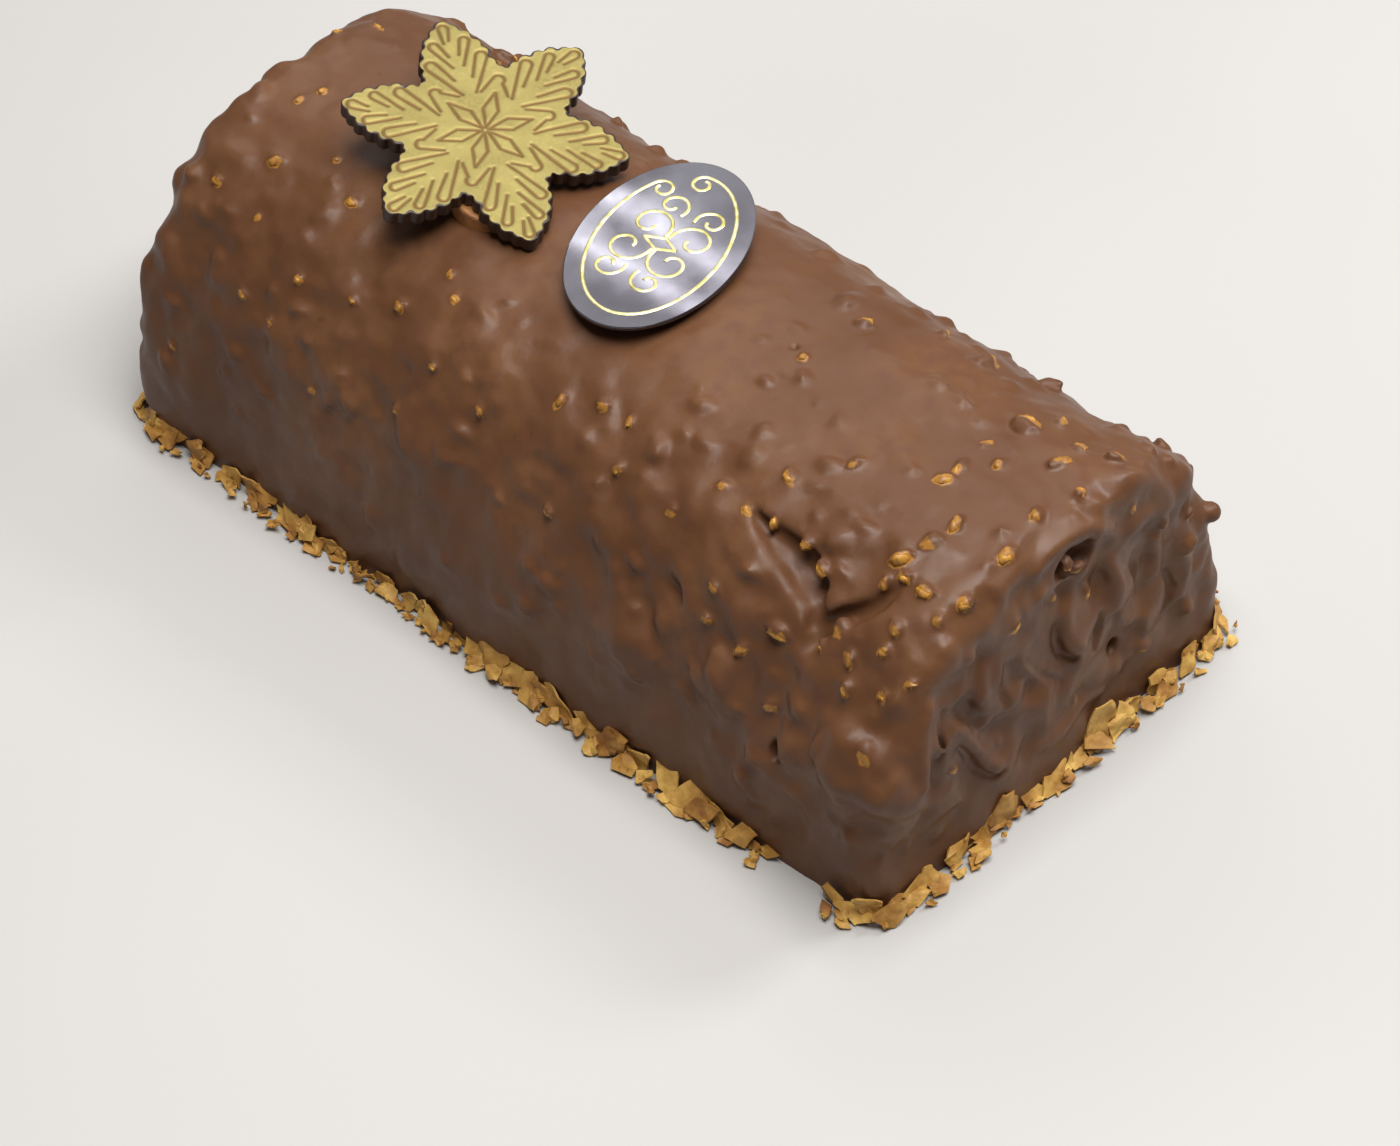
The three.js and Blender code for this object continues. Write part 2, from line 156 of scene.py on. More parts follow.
def edge_middle(piece, edge):
    first, second = (piece.data.vertices[index].co for index in edge.vertices)
    return (first + second) / 2


def shaped(piece, kind, **settings):
    """Puts a modifier on the piece and applies it."""
    only(piece)
    modifier = piece.modifiers.new(kind.lower(), kind)
    for name, value in settings.items():
        setattr(modifier, name, value)
    bpy.ops.object.modifier_apply(modifier=modifier.name)
    return piece


def joined(name, pieces):
    bpy.ops.object.select_all(action="DESELECT")
    for piece in pieces:
        piece.select_set(True)
    bpy.context.view_layer.objects.active = pieces[0]
    bpy.ops.object.join()
    return added(name)


def in_scene(name, data):
    """A new object, put in the scene, for a mesh, curve, lamp or camera."""
    piece = bpy.data.objects.new(name, data)
    bpy.context.scene.collection.objects.link(piece)
    return piece


def copy_of(shape, place):
    mesh = shape.data.copy()
    mesh.transform(place)
    return in_scene(shape.name, mesh)


def discard(*pieces):
    for piece in pieces:
        bpy.data.objects.remove(piece)


def cut_away(piece, cutter):
    shaped(piece, "BOOLEAN", operation="DIFFERENCE", solver="MANIFOLD", object=cutter)
    discard(cutter)
    return piece


def smooth_by_angle(piece, degrees):
    only(piece)
    bpy.ops.object.shade_smooth_by_angle(angle=math.radians(degrees))
    return piece


def triangle_count(piece):
    return sum(len(polygon.vertices) - 2 for polygon in piece.data.polygons)


def thinned(piece, triangles):
    """Collapses edges until the piece has no more triangles than this."""
    share = triangles / triangle_count(piece)
    if share < 1:
        shaped(piece, "DECIMATE", decimate_type="COLLAPSE", ratio=share, use_collapse_triangulate=True)
    return piece


def point_attribute(piece, name, values):
    attribute = piece.data.attributes.new(name, "FLOAT", "POINT")
    attribute.data.foreach_set("value", values)


def tube(name, points, radius, widths=None):
    """A round tube through points given in mm; widths scale its radius point by point."""
    curve = bpy.data.curves.new(name, "CURVE")
    curve.dimensions = "3D"
    curve.bevel_depth = radius * MM
    curve.bevel_resolution = 2
    curve.use_fill_caps = True
    spline = curve.splines.new("POLY")
    spline.points.add(len(points) - 1)
    for spot, point in zip(spline.points, points):
        spot.co = (*(Vector(point) * MM), 1)
    for spot, width in zip(spline.points, widths or []):
        spot.radius = width
    only(in_scene(name, curve))
    bpy.ops.object.convert(target="MESH")
    return sealed(added(name))


def sealed(piece):
    """Merges doubled points and turns the faces outwards."""
    edit_all(piece)
    bpy.ops.mesh.remove_doubles(threshold=0.005 * MM)
    bpy.ops.mesh.select_all(action="SELECT")
    bpy.ops.mesh.normals_make_consistent(inside=False)
    leave_edit()
    return piece


# Materials

def linear(hex_colour):
    """An sRGB hex colour as linear RGBA."""
    channels = [int(hex_colour[index:index + 2], 16) / 255 for index in (1, 3, 5)]
    return [c / 12.92 if c <= 0.04045 else ((c + 0.055) / 1.055) ** 2.4 for c in channels] + [1.0]


def set_inputs(tree, sockets, inputs):
    """Links each socket that is given a node's output and sets the others; hex is a colour."""
    for name, value in inputs.items():
        if isinstance(value, bpy.types.NodeSocket):
            tree.links.new(value, sockets[name])
        elif isinstance(value, str):
            sockets[name].default_value = linear(value)
        else:
            sockets[name].default_value = value


def node(tree, kind, inputs=None, output=0, **settings):
    """Adds a node with its settings and inputs, and gives one of its outputs."""
    made = tree.nodes.new(kind)
    for name, value in settings.items():
        setattr(made, name, value)
    set_inputs(tree, made.inputs, inputs or {})
    return made.outputs[output]


def new_material(name):
    material = bpy.data.materials.new(name)
    material.use_nodes = True
    return material, material.node_tree


def coated(material, inputs):
    """Sets the material's shader."""
    tree = material.node_tree
    set_inputs(tree, tree.nodes["Principled BSDF"].inputs, inputs)
    return material


def per_metre(millimetres):
    """The texture scale whose pattern repeats about once in so many mm."""
    return 1000 / millimetres


# The Mix node's colour sockets go by number, because its other kinds of socket share their names
FIRST_COLOUR = 6
SECOND_COLOUR = 7
MIXED_COLOUR = 2


def patches(tree, size, detail, low, high, to_low=0.0, to_high=1.0, roughness=0.5):
    """Soft patches about so many mm wide, as a value that eases from to_low to to_high."""
    place = node(tree, "ShaderNodeTexCoord", output="Object")
    cloud = node(tree, "ShaderNodeTexNoise", {
        "Vector": place, "Scale": per_metre(size), "Detail": detail, "Roughness": roughness,
    })
    return node(tree, "ShaderNodeMapRange", {
        "Value": cloud, "From Min": low, "From Max": high, "To Min": to_low, "To Max": to_high,
    }, interpolation_type="SMOOTHSTEP")


def mottled(tree, first, second, size, detail, low, high, roughness=0.5):
    """Two colours in soft patches about so many mm wide."""
    share = patches(tree, size, detail, low, high, roughness=roughness)
    inputs = {"Factor": share, FIRST_COLOUR: first, SECOND_COLOUR: second}
    return node(tree, "ShaderNodeMix", inputs, MIXED_COLOUR, data_type="RGBA")


def relief(tree, size, detail, strength, depth, under=None):
    """Low relief about so many mm wide and deep, laid over any relief under it."""
    place = node(tree, "ShaderNodeTexCoord", output="Object")
    cloud = node(tree, "ShaderNodeTexNoise", {
        "Vector": place, "Scale": per_metre(size), "Detail": detail,
    })
    inputs = {"Height": cloud, "Strength": strength, "Distance": depth * MM}
    if under is not None:
        inputs["Normal"] = under
    return node(tree, "ShaderNodeBump", inputs)


def milk_chocolate_glaze():
    """Poured milk chocolate and nut glaze, set with a satin skin: broad soft highlights, slow
    clouds of lighter and darker brown, a faint grain, and honey colour where nuts show through."""
    material, tree = new_material("poured_milk_chocolate_glaze")
    clouds = mottled(tree, "#563722", "#63422A", 32, 2.0, 0.35, 0.68)
    skin = mottled(tree, clouds, "#5A3A27", 5, 4.0, 0.4, 0.7, roughness=0.6)
    place = node(tree, "ShaderNodeTexCoord", output="Object")
    grain = node(tree, "ShaderNodeTexNoise", {
        "Vector": place, "Scale": per_metre(1.8), "Detail": 2.0,
    })
    nut = node(tree, "ShaderNodeAttribute", attribute_name="thin_glaze", output="Fac")
    ragged = node(tree, "ShaderNodeMath", {0: nut, 1: grain}, operation="MULTIPLY")
    showing = node(tree, "ShaderNodeMapRange", {
        "Value": ragged, "From Min": 0.15, "From Max": 0.5,
    }, interpolation_type="SMOOTHSTEP")
    colour = node(tree, "ShaderNodeMix", {
        "Factor": showing, FIRST_COLOUR: skin, SECOND_COLOUR: "#96682C",
    }, MIXED_COLOUR, data_type="RGBA")
    waves = relief(tree, 6.5, 2.0, 0.35, 0.5)
    return coated(material, {
        "IOR": 1.46, "Specular IOR Level": 0.27, "Base Color": colour,
        "Roughness": patches(tree, 9, 3.0, 0.3, 0.7, 0.36, 0.5),
        "Normal": relief(tree, 1.1, 3.0, 0.22, 0.12, waves),
    })


def roasted_nut():
    """Chopped roasted nut, thinly coated: golden caramel with darker skin, slightly glossy."""
    material, tree = new_material("chopped_roasted_nut")
    return coated(material, {
        "IOR": 1.47, "Roughness": 0.42,
        "Base Color": mottled(tree, "#845722", "#B98632", 2.2, 3.0, 0.38, 0.66),
        "Normal": relief(tree, 0.9, 3.0, 0.4, 0.2),
    })


def baked_wafer():
    """Crumbled lace wafer, baked: matt golden tan, browner in patches, with fine pores; each
    flake has its own tone."""
    material, tree = new_material("baked_lace_wafer")
    tone = node(tree, "ShaderNodeAttribute", attribute_name="tone", output="Fac")
    toasted, pale = [
        node(tree, "ShaderNodeMix", {
            "Factor": tone, FIRST_COLOUR: dark, SECOND_COLOUR: light,
        }, MIXED_COLOUR, data_type="RGBA")
        for dark, light in (("#7E5020", "#A67832"), ("#B5843C", "#CFA95A"))
    ]
    place = node(tree, "ShaderNodeTexCoord", output="Object")
    pores = node(tree, "ShaderNodeTexVoronoi", {"Vector": place, "Scale": per_metre(1.4)})
    pitted = node(tree, "ShaderNodeBump", {
        "Height": pores, "Strength": 0.35, "Distance": 0.3 * MM,
        "Normal": relief(tree, 2.4, 4.0, 0.6, 0.5),
    })
    return coated(material, {
        "IOR": 1.45, "Roughness": 0.62, "Normal": pitted,
        "Base Color": mottled(tree, toasted, pale, 6, 4.0, 0.34, 0.68, roughness=0.6),
    })


def gilded_chocolate():
    """Dark chocolate moulded in a snowflake and dusted with gold lustre: soft metal sheen on
    top, painted shade that darkens the grooves to ochre, bare dark chocolate on the rim, sides and
    underside."""
    material, tree = new_material("gold_dusted_dark_chocolate")
    gold = mottled(tree, "#81743F", "#988B51", 9, 4.0, 0.34, 0.68, roughness=0.6)
    dusted = mottled(tree, gold, "#8E8149", 0.8, 2.0, 0.3, 0.7)
    # The groove share is where shade is painted into the grooves; the gilt share is where the gold dust
    # lies
    shares = {}
    for name, low, high in (("groove", 0.25, 0.95), ("gilt", 0.3, 0.75)):
        value = node(tree, "ShaderNodeAttribute", attribute_name=name, output="Fac")
        shares[name] = node(tree, "ShaderNodeMapRange", {
            "Value": value, "From Min": low, "From Max": high,
        }, interpolation_type="SMOOTHSTEP")
    # Painted shade: near the engraved lines the gold is darkened to a dull ochre, standing in for the
    # shade in the grooves
    shaded_grooves = node(tree, "ShaderNodeMix", {
        "Factor": shares["groove"], FIRST_COLOUR: dusted, SECOND_COLOUR: "#6A4F24",
    }, MIXED_COLOUR, data_type="RGBA")
    colour = node(tree, "ShaderNodeMix", {
        "Factor": shares["gilt"], FIRST_COLOUR: "#2B1910", SECOND_COLOUR: shaded_grooves,
    }, MIXED_COLOUR, data_type="RGBA")
    inputs = {"IOR": 1.46, "Base Color": colour, "Normal": relief(tree, 1.2, 3.0, 0.25, 0.1)}
    for socket, bare, gilded in (("Metallic", 0.0, 0.5), ("Roughness", 0.4, 0.56)):
        inputs[socket] = node(tree, "ShaderNodeMapRange", {
            "Value": shares["gilt"], "To Min": bare, "To Max": gilded,
        }, interpolation_type="SMOOTHSTEP")
    return coated(material, inputs)


def caramel_chocolate():
    """Caramel-coloured chocolate set in a round dab: satin, slightly mottled."""
    material, tree = new_material("set_caramel_chocolate")
    return coated(material, {
        "IOR": 1.46, "Roughness": 0.45,
        "Base Color": mottled(tree, "#80522B", "#9C6A38", 4, 3.0, 0.35, 0.65),
        "Normal": relief(tree, 1.5, 2.0, 0.3, 0.15),
    })


def tag_foil():
    """Glossy metallised card: silver grey, mirror-like, with the slight ripple of thin card."""
    material, tree = new_material("glossy_metallised_card")
    return coated(material, {
        "Metallic": 0.85, "Roughness": patches(tree, 7, 2.0, 0.3, 0.7, 0.04, 0.07),
        "Base Color": mottled(tree, "#5A575D", "#6D6B71", 18, 2.0, 0.35, 0.65),
        "Normal": relief(tree, 34, 0.0, 0.16, 0.35),
    })


def gold_print():
    """Hot-stamped gold foil: bright pale gold, a little uneven from the stamping."""
    material, tree = new_material("hot_stamped_gold")
    return coated(material, {
        "Metallic": 0.8, "Roughness": patches(tree, 2.5, 2.0, 0.35, 0.65, 0.3, 0.42),
        "Base Color": mottled(tree, "#C9BE6E", "#EDE6B4", 2.5, 2.0, 0.35, 0.65),
    })


def finished(piece, name, material, nodes=()):
    """Names and paints a piece, and says what it rides on and the nodes it replaces."""
    piece.name = name
    piece.data.name = name
    piece.data.materials.clear()
    piece.data.materials.append(material)
    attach(piece, "root")
    if nodes:
        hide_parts(*nodes)
    return piece


# The log's surface

def dome_point(x, degrees, lift=0.0):
    """A place on the dome in mm; 0 degrees is the near foot and 180 the far foot."""
    across = math.cos(math.radians(degrees))
    up = max(math.sin(math.radians(degrees)), 0)
    y = -(HALF_WIDTH + lift) * math.copysign(abs(across) ** (2 / DOME_POWER), across)
    return Vector((x, y, (LOG_HEIGHT + lift) * up ** (2 / DOME_POWER)))


def dome_normal(point):
    slope_y = math.copysign(abs(point.y / HALF_WIDTH) ** (DOME_POWER - 1), point.y) / HALF_WIDTH
    slope_z = (max(point.z, 0) / LOG_HEIGHT) ** (DOME_POWER - 1) / LOG_HEIGHT
    return Vector((0, slope_y, slope_z)).normalized()


def bare_log():
    """A block whose top edges are bevelled to the dome, with rounded ends and a spare foot."""
    size = (LOG_LENGTH * MM, LOG_WIDTH * MM, HALF_WIDTH * MM)
    bpy.ops.mesh.primitive_cube_add(size=1, location=(0, 0, size[2] / 2), scale=size)
    log = place_in_mesh(added("bare_log"))

    def is_top_long_edge(edge):
        middle = edge_middle(log, edge)
        return abs(middle.x) < MM and middle.z > size[2] * 0.9

    edit_chosen(log, "EDGE", is_top_long_edge)
    bpy.ops.mesh.bevel(
        offset=DOME_REACH * HALF_WIDTH * MM, segments=DOME_SEGMENTS, profile=DOME_PROFILE,
        clamp_overlap=False,
    )
    bpy.ops.mesh.select_all(action="SELECT")
    bpy.ops.mesh.remove_doubles(threshold=0.01 * MM)
    bpy.ops.transform.resize(value=(1, 1, LOG_HEIGHT / HALF_WIDTH), center_override=(0, 0, 0))
    leave_edit()

    def is_end_rim(edge):
        middle = edge_middle(log, edge)
        return abs(abs(middle.x) - HALF_LENGTH * MM) < 0.1 * MM and middle.z > 0.01 * MM

    edit_chosen(log, "EDGE", is_end_rim)
    bpy.ops.mesh.bevel(offset=END_RIM * MM, segments=5, profile=0.5, clamp_overlap=False)
    leave_edit()
    edit_chosen(log, "VERT", lambda vertex: vertex.co.z < 0.01 * MM)
    bpy.ops.transform.translate(value=(0, 0, -BASE_SPARE * MM))
    leave_edit()
    return log


# Where stretched patterns start from, in metres
PATTERN_PLACE = (0.37, 0.21, 0.13)


def pushed(piece, name, size, height, stretch=None, group=""):
    """Pushes the surface in and out by a cloudy pattern, its size and height in mm; stretch
    lengthens it along x, y, z."""
    texture = bpy.data.textures.new(name, "CLOUDS")
    texture.noise_scale = size * MM
    texture.noise_depth = 1
    settings = {
        "texture": texture, "strength": height * MM, "mid_level": 0.5,
        "texture_coords": "LOCAL", "vertex_group": group,
    }
    if stretch is None:
        return shaped(piece, "DISPLACE", **settings)
    bpy.ops.object.empty_add(location=PATTERN_PLACE)
    frame_of_pattern = bpy.context.active_object
    frame_of_pattern.scale = stretch
    bpy.context.view_layer.update()
    settings["texture_coords"] = "OBJECT"
    settings["texture_coords_object"] = frame_of_pattern
    shaped(piece, "DISPLACE", **settings)
    discard(frame_of_pattern)
    return piece


# Runs where the glaze sank between nuts: places along the log in mm and round it in degrees,
# with the half width of the hollow there
SUNKEN_RUNS = [
    [(56, 61, 1.0), (60, 60, 1.8), (64, 58, 2.4), (67, 57, 2.6), (71, 56.5, 3.4), (75, 55, 4.0),
     (79, 53, 3.2), (82, 49.5, 2.6), (84, 45.5, 3.2), (84, 41, 2.4)],
    [(82, 48, 3.0), (86, 50, 3.0), (89, 54, 2.8), (91.5, 59, 2.4), (94, 64, 1.8), (96, 69, 1.0)],
    [(17, 67, 0.8), (19, 63, 1.6), (22, 60, 1.8), (24, 56, 1.0)],
    [(-32, 47, 1.2), (-29, 43, 2.0), (-25, 42, 1.2)],
    [(46, 40, 1.4), (50, 37, 2.4), (52, 33, 1.6)],
]
# Lips and ridges that stand out beside them, given in the same way
RAISED_RUNS = [
    [(87, 43, 1.2), (90, 49, 1.5), (94, 56, 1.3), (98, 64, 0.8)],
    [(50, 53, 1.0), (54, 49, 1.5), (56, 44, 1.2)],
    [(-30, 52, 0.9), (-28, 46, 1.3), (-29, 41, 0.9)],
    [(103, 36, 1.2), (106, 44, 1.8), (104, 52, 1.2)],
]
# Sharper creases along the upper edge of the hollows
CREASES = [
    [(57, 61.5, 1.2), (61, 60, 1.9), (66, 59, 2.3), (71, 58, 3.0), (76, 56.5, 3.3), (80, 53.5, 2.6),
     (83.5, 48, 2.5), (88, 53, 2.4), (91, 58, 2.0), (94, 65, 1.2)],
]
# Drips and rims that stand out on the front end: across and up, with the radius, in mm
END_DRIPS = [
    [(1.6, 48, 1.4), (1.6, 43, 2.0), (2.8, 38, 2.3), (4.6, 35, 1.9)],
    [(-33, 41, 1.6), (-29, 37, 1.9), (-25.5, 30, 1.7), (-22, 22.5, 1.6), (-19.5, 19.5, 1.7)],
    [(-12.5, 45, 1.3), (-8, 37, 1.6), (-1.5, 30, 1.5)],
    [(-8.0, 64, 1.4), (-3.5, 66.5, 1.8), (3.0, 67.5, 1.8), (9.5, 65.5, 1.8), (14.5, 60.5, 1.4)],
    [(14.8, 52, 1.8), (16.5, 44, 2.3), (16, 37, 2.0)],
    [(29, 48, 2.0), (31, 41, 2.4), (30, 35, 1.8)],
    [(38.5, 38, 2.0), (40, 30, 2.3), (38, 22, 1.8)],
    [(27, 27, 1.8), (27.5, 20, 2.0)],
    [(-38, 52, 1.8), (-42, 44, 2.0), (-43.5, 34, 1.8)],
    [(-22, 50, 1.6), (-24, 43, 2.0), (-21, 37, 1.6)],
    [(-8, 15, 1.4), (0, 13, 1.9), (9, 14.5, 1.7), (16, 12.5, 1.3)],
]
# Furrows beside them: across and up, with the radius, in mm
END_FURROWS = [
    [(-1.2, 46, 0.8), (-1.0, 40, 1.2), (1.0, 34.5, 1.3), (4.4, 31.8, 1.1)],
    [(-10, 42.3, 0.9), (-5, 34, 1.2), (1.1, 26.8, 0.9)],
    [(-30.5, 34, 0.8), (-28, 29.5, 1.1), (-24.5, 21, 1.3), (-20.5, 16.6, 1.2), (-17.3, 17.6, 1.0)],
    [(22.0, 47.0, 1.2), (24.0, 41.0, 1.6), (23.0, 34.0, 1.2)],
    [(34.2, 33.0, 1.2), (35.6, 26.4, 1.6), (34.0, 20.0, 1.2)],
    [(11.0, 40.0, 1.0), (11.9, 33.6, 1.6), (10.5, 28.0, 1.0)],
    [(-34, 48, 0.9), (-36, 42, 1.3), (-36.5, 34, 1.0)],
    [(-16.5, 47, 0.9), (-17.5, 41, 1.2), (-16, 34, 0.9)],
]
# Pits and holes: place and half sizes in mm
HOLES = [
    ((HALF_LENGTH, 4.0, 60.2), (6.0, 6.0, 4.5)),
    ((HALF_LENGTH, 18.6, 22.0), (4.0, 1.8, 2.2)),
    ((82.6, -HALF_WIDTH, 31.0), (1.8, 4.4, 3.0)),
    ((92.4, -HALF_WIDTH, 36.6), (1.7, 3.6, 2.0)),
    ((36.0, 4.0, LOG_HEIGHT), (0.9, 0.9, 1.6)),
]
# Lobes of glaze that sag over the near corner: place and half sizes in mm
SWELLS = [
    ((101.5, -46.0, 36.0), (11.5, 10.4, 12.5)),
    ((87.0, -48.5, 33.0), (7.0, 6.6, 6.5)),
    ((66.0, -50.0, 36.0), (7.5, 5.2, 8.0)),
    ((44.0, -51.0, 32.0), (8.0, 4.8, 7.0)),
]


def ellipsoid(name, place, half_sizes):
    bpy.ops.mesh.primitive_ico_sphere_add(
        subdivisions=3, radius=1, location=Vector(place) * MM, scale=Vector(half_sizes) * MM,
    )
    return place_in_mesh(added(name))


def carved_places():
    """Where the glaze is carved, which nuts keep clear of."""
    places = [Vector(place) for place, half_sizes in HOLES]
    for run in SUNKEN_RUNS:
        places += [dome_point(x, degrees) for x, degrees, radius in run]
    for run in END_FURROWS:
        places += [Vector((HALF_LENGTH, y, z)) for y, z, radius in run]
    return places


def tube_along(run, name, place_of):
    """A tube along a run, through the place that a function gives for each of its spots."""
    return tube(name, [place_of(*spot) for spot in run], 1.0, [radius for a, b, radius in run])


def run_tube(run, lift):
    """A tube along the glaze, lifted by a share of its radius."""
    return tube_along(run, "run", lambda x, degrees, radius: dome_point(x, degrees, lift * radius))


def end_tube(log, run, lift):
    """A tube on the front end, laid on the glaze as it is there."""
    def on_end(y, z, radius):
        start = Vector((HALF_LENGTH + 20, y, z)) * MM
        hit, spot, facing, index = log.ray_cast(start, Vector((-1, 0, 0)))
        return spot.x / MM + lift * radius, y, z

    return tube_along(run, "end_run", on_end)


def nearest_on(log, place):
    hit, spot, facing, index = log.closest_point_on_mesh(Vector(place) * MM)
    return spot / MM


def carve_creases(log):
    def on_glaze(x, degrees, radius):
        return nearest_on(log, dome_point(x, degrees))

    for run in CREASES:
        cut_away(log, tube_along(run, "crease", on_glaze))


def carve_details(log):
    cutters = [end_tube(log, run, 0.0) for run in END_FURROWS]
    cutters += [ellipsoid("hole", nearest_on(log, place), half_sizes) for place, half_sizes in HOLES]
    for cutter in cutters:
        cut_away(log, cutter)


# Nuts that show golden through the glaze: places along the log in mm and round it in degrees
SHOWING_NUTS = [
    (42, 52), (49, 63), (57, 61), (63, 62), (72, 61), (76, 57), (68, 82), (84, 88), (60, 72), (59, 44),
    (59, 36), (76, 43), (69, 35), (85, 45), (87, 52), (91, 64), (94, 68), (99, 67), (91, 70), (105, 64),
    (93, 47), (99, 52), (103, 44), (107, 49), (95, 41), (79, 27), (83, 95), (84, 90), (89, 93), (94, 82),
    (104, 90), (107, 83), (93, 76), (108, 70), (97, 106), (104, 109), (104, 121), (89, 110), (105, 31),
    (99, 57), (40, 91), (41, 104), (-95, 83), (-101, 102), (-29, 65), (-34, 69), (-40, 57), (-25, 50),
    (-66, 71), (6, 59), (15, 63), (21, 63), (26, 53), (14, 36), (-30, 36), (-10, 47), (-76, 77),
    (-106, 96), (-93, 87), (-96, 18), (-88, 69), (-97, 58), (-83, 56), (-78, 39), (-66, 49), (-51, 52),
    (-54, 28), (-69, 37),
]
# Nuts that show on the front end: across and up, in mm
SHOWING_END_NUTS = [
    (-14.4, 55.8), (-1.4, 53.5), (1.0, 61.4), (21.1, 62.0), (3.8, 59.0), (-31.9, 28.7), (9, 47), (31, 50),
]
# The nut that stands out of the far rim, in mm
PROUD_NUT_PLACE = (HALF_LENGTH - 1.5, 48.6, 38.5)
PROUD_NUT_RADIUS = 2.3

SCATTER_SEED = 12
HIDDEN_SEED = 7
SHOWING_SEED = 31
# No scattered nut lies lower than this, in mm, among the wafer flakes
LOWEST_NUT = 11
# How deep a hidden nut sinks, and how a showing nut's tip is sized and set, as shares of its radius
HIDDEN_SINK = 0.16
TIP_SCALES = (0.6, 0.86)
TIP_PROUD = 0.04
TIP_ASIDE = 0.3
# Glaze nearer than this to a tip, in mm, takes on its colour
THIN_GLAZE = 0.7
# Nor on the crest, which starts at this height, so near the middle of the snowflake or the tag
CREST_FROM = 60
SNOW_CLEARANCE = 32
TAG_CLEARANCE = 28
NUT_SHAPES = 6


def nut_shapes():
    """Chopped nuts: uneven pebbles, each with two flat cuts."""
    shapes = []
    for index in range(NUT_SHAPES):
        bpy.ops.mesh.primitive_ico_sphere_add(subdivisions=1, radius=1)
        nut = added(f"chopped_nut_{index}")
        edit_all(nut)
        bpy.ops.transform.vertex_random(offset=0.24, seed=index + 1)
        for turn in (0.4 + index, 2.6 + 1.7 * index):
            direction = Vector((math.cos(turn), math.sin(turn), 0.5 * math.sin(3 * turn)))
            cut_flat(direction * 0.55, direction, use_fill=True, clear_outer=True)
        leave_edit()
        shapes.append(nut)
    return shapes


def nut_place(point, normal, radius, draw, sink=0.0, scale=1.0, aside=Vector((0, 0, 0))):
    """The matrix that lays a nut of this radius, in mm, on the glaze."""
    upright = normal.to_track_quat("Z", "Y").to_matrix().to_4x4()
    spin = Euler((0.7 * draw(), 0.7 * draw(), 2 * math.pi * draw())).to_matrix().to_4x4()
    width = between(0.5, 0.9, draw())
    height = between(0.6, 0.85, draw())
    size = Vector((1.15 * radius, width * radius, height * radius))
    centre = point - normal * radius * sink + aside * radius
    return (
        Matrix.Translation(centre * MM) @ upright @ spin @ Matrix.Diagonal((*(size * scale * MM), 1))
    )


def nut_share(x, degrees):
    """How likely a scattered nut is to stay: more towards the front end and on the shoulders."""
    frontness = smooth_step(x, 15, 85)
    shoulder = math.sin(2 * math.radians(degrees)) ** 2
    return 0.22 + 0.6 * frontness + 0.3 * shoulder


def is_clear(point, taken, spacing):
    return all((point - other).length > spacing for other in taken)


def under_plaque(point):
    """Whether a nut there would lie under the snowflake or the tag."""
    from_snow = math.hypot(point.x - SNOW_CENTRE[0], point.y - SNOW_CENTRE[1])
    from_tag = math.hypot(point.x - TAG_CENTRE[0], point.y - TAG_CENTRE[1])
    return point.z > CREST_FROM and (from_snow < SNOW_CLEARANCE or from_tag < TAG_CLEARANCE)


def dome_spot(draw):
    """A spot on the dome: its place, outward normal, share of the size range, and if it stays."""
    x = (draw() - 0.5) * (LOG_LENGTH - END_RIM)
    degrees = between(9, 171, draw())
    point = dome_point(x, degrees)
    share = draw() ** 1.6
    stays = draw() < nut_share(x, degrees) and not under_plaque(point)
    return point, dome_normal(point), share, stays


def end_spot(draw, side=-1):
    """A spot on the rear end."""
    edge = dome_point(0, 180 * draw())
    reach = between(0.2, 0.93, math.sqrt(draw()))
    point = Vector((side * HALF_LENGTH, edge.y * reach, edge.z * reach))
    return point, Vector((side, 0, 0)), draw() ** 1.8, True


def front_spot(draw):
    return end_spot(draw, 1)


# Large and small nuts scattered on the dome, the front end and the rear end: how many, their
# radius from and to, and how far apart at least, in mm
LARGE_NUTS = [
    (dome_spot, 190, 2.0, 4.0, 4.8), (front_spot, 20, 1.8, 3.4, 5.4), (end_spot, 24, 1.8, 3.4, 5.4),
]
SMALL_NUTS = [
    (dome_spot, 90, 1.2, 1.9, 3.6), (front_spot, 12, 1.2, 1.9, 3.4), (end_spot, 12, 1.2, 1.9, 3.4),
]


def scattered(draw, taken, rows):
    """Nuts that keep clear of what is taken: point, outward normal and radius, in mm."""
    nuts = []
    for spot, count, low, high, spacing in rows:
        wanted = len(nuts) + count
        while len(nuts) < wanted:
            point, normal, share, stays = spot(draw)
            if stays and point.z >= LOWEST_NUT and is_clear(point, taken, spacing):
                taken.append(point)
                nuts.append((point, normal, between(low, high, share)))
    return nuts


def beside(nut, draw):
    """A smaller nut that touches this one."""
    point, normal, radius = nut
    around = normal.orthogonal().normalized()
    around.rotate(Matrix.Rotation(2 * math.pi * draw(), 3, normal))
    place = point + around * radius * between(1.0, 1.5, draw())
    return place, normal, radius * between(0.45, 0.7, draw())


def all_nuts():
    """The nuts that show golden, and those that the glaze hides."""
    draw = seeded_random(SCATTER_SEED)
    showing = []
    for x, degrees in SHOWING_NUTS:
        point = dome_point(x, degrees)
        size = between(0.72, 1.0, smooth_step(x, -20, 70))
        showing.append((point, dome_normal(point), size * between(1.7, 2.8, draw())))
    for y, z in SHOWING_END_NUTS:
        point = Vector((HALF_LENGTH, y, z))
        showing.append((point, Vector((1, 0, 0)), between(1.6, 2.4, draw())))
    taken = [nut[0] for nut in showing] + carved_places()
    large = scattered(draw, taken, LARGE_NUTS)
    hidden = large + scattered(draw, taken, SMALL_NUTS)
    for nut in showing[::2] + large[::2]:
        hidden.append(beside(nut, draw))
    unseen = [nut for nut in large if nut[0].y > 5 or nut[0].x < -HALF_LENGTH + 1]
    showing += unseen[::3]
    hidden = [nut for nut in hidden if nut not in unseen[::3]]
    return showing, hidden


def on_surface(log, nuts):
    """The same nuts, moved to the glaze as it is there."""
    return [(nearest_on(log, point), normal, radius) for point, normal, radius in nuts]


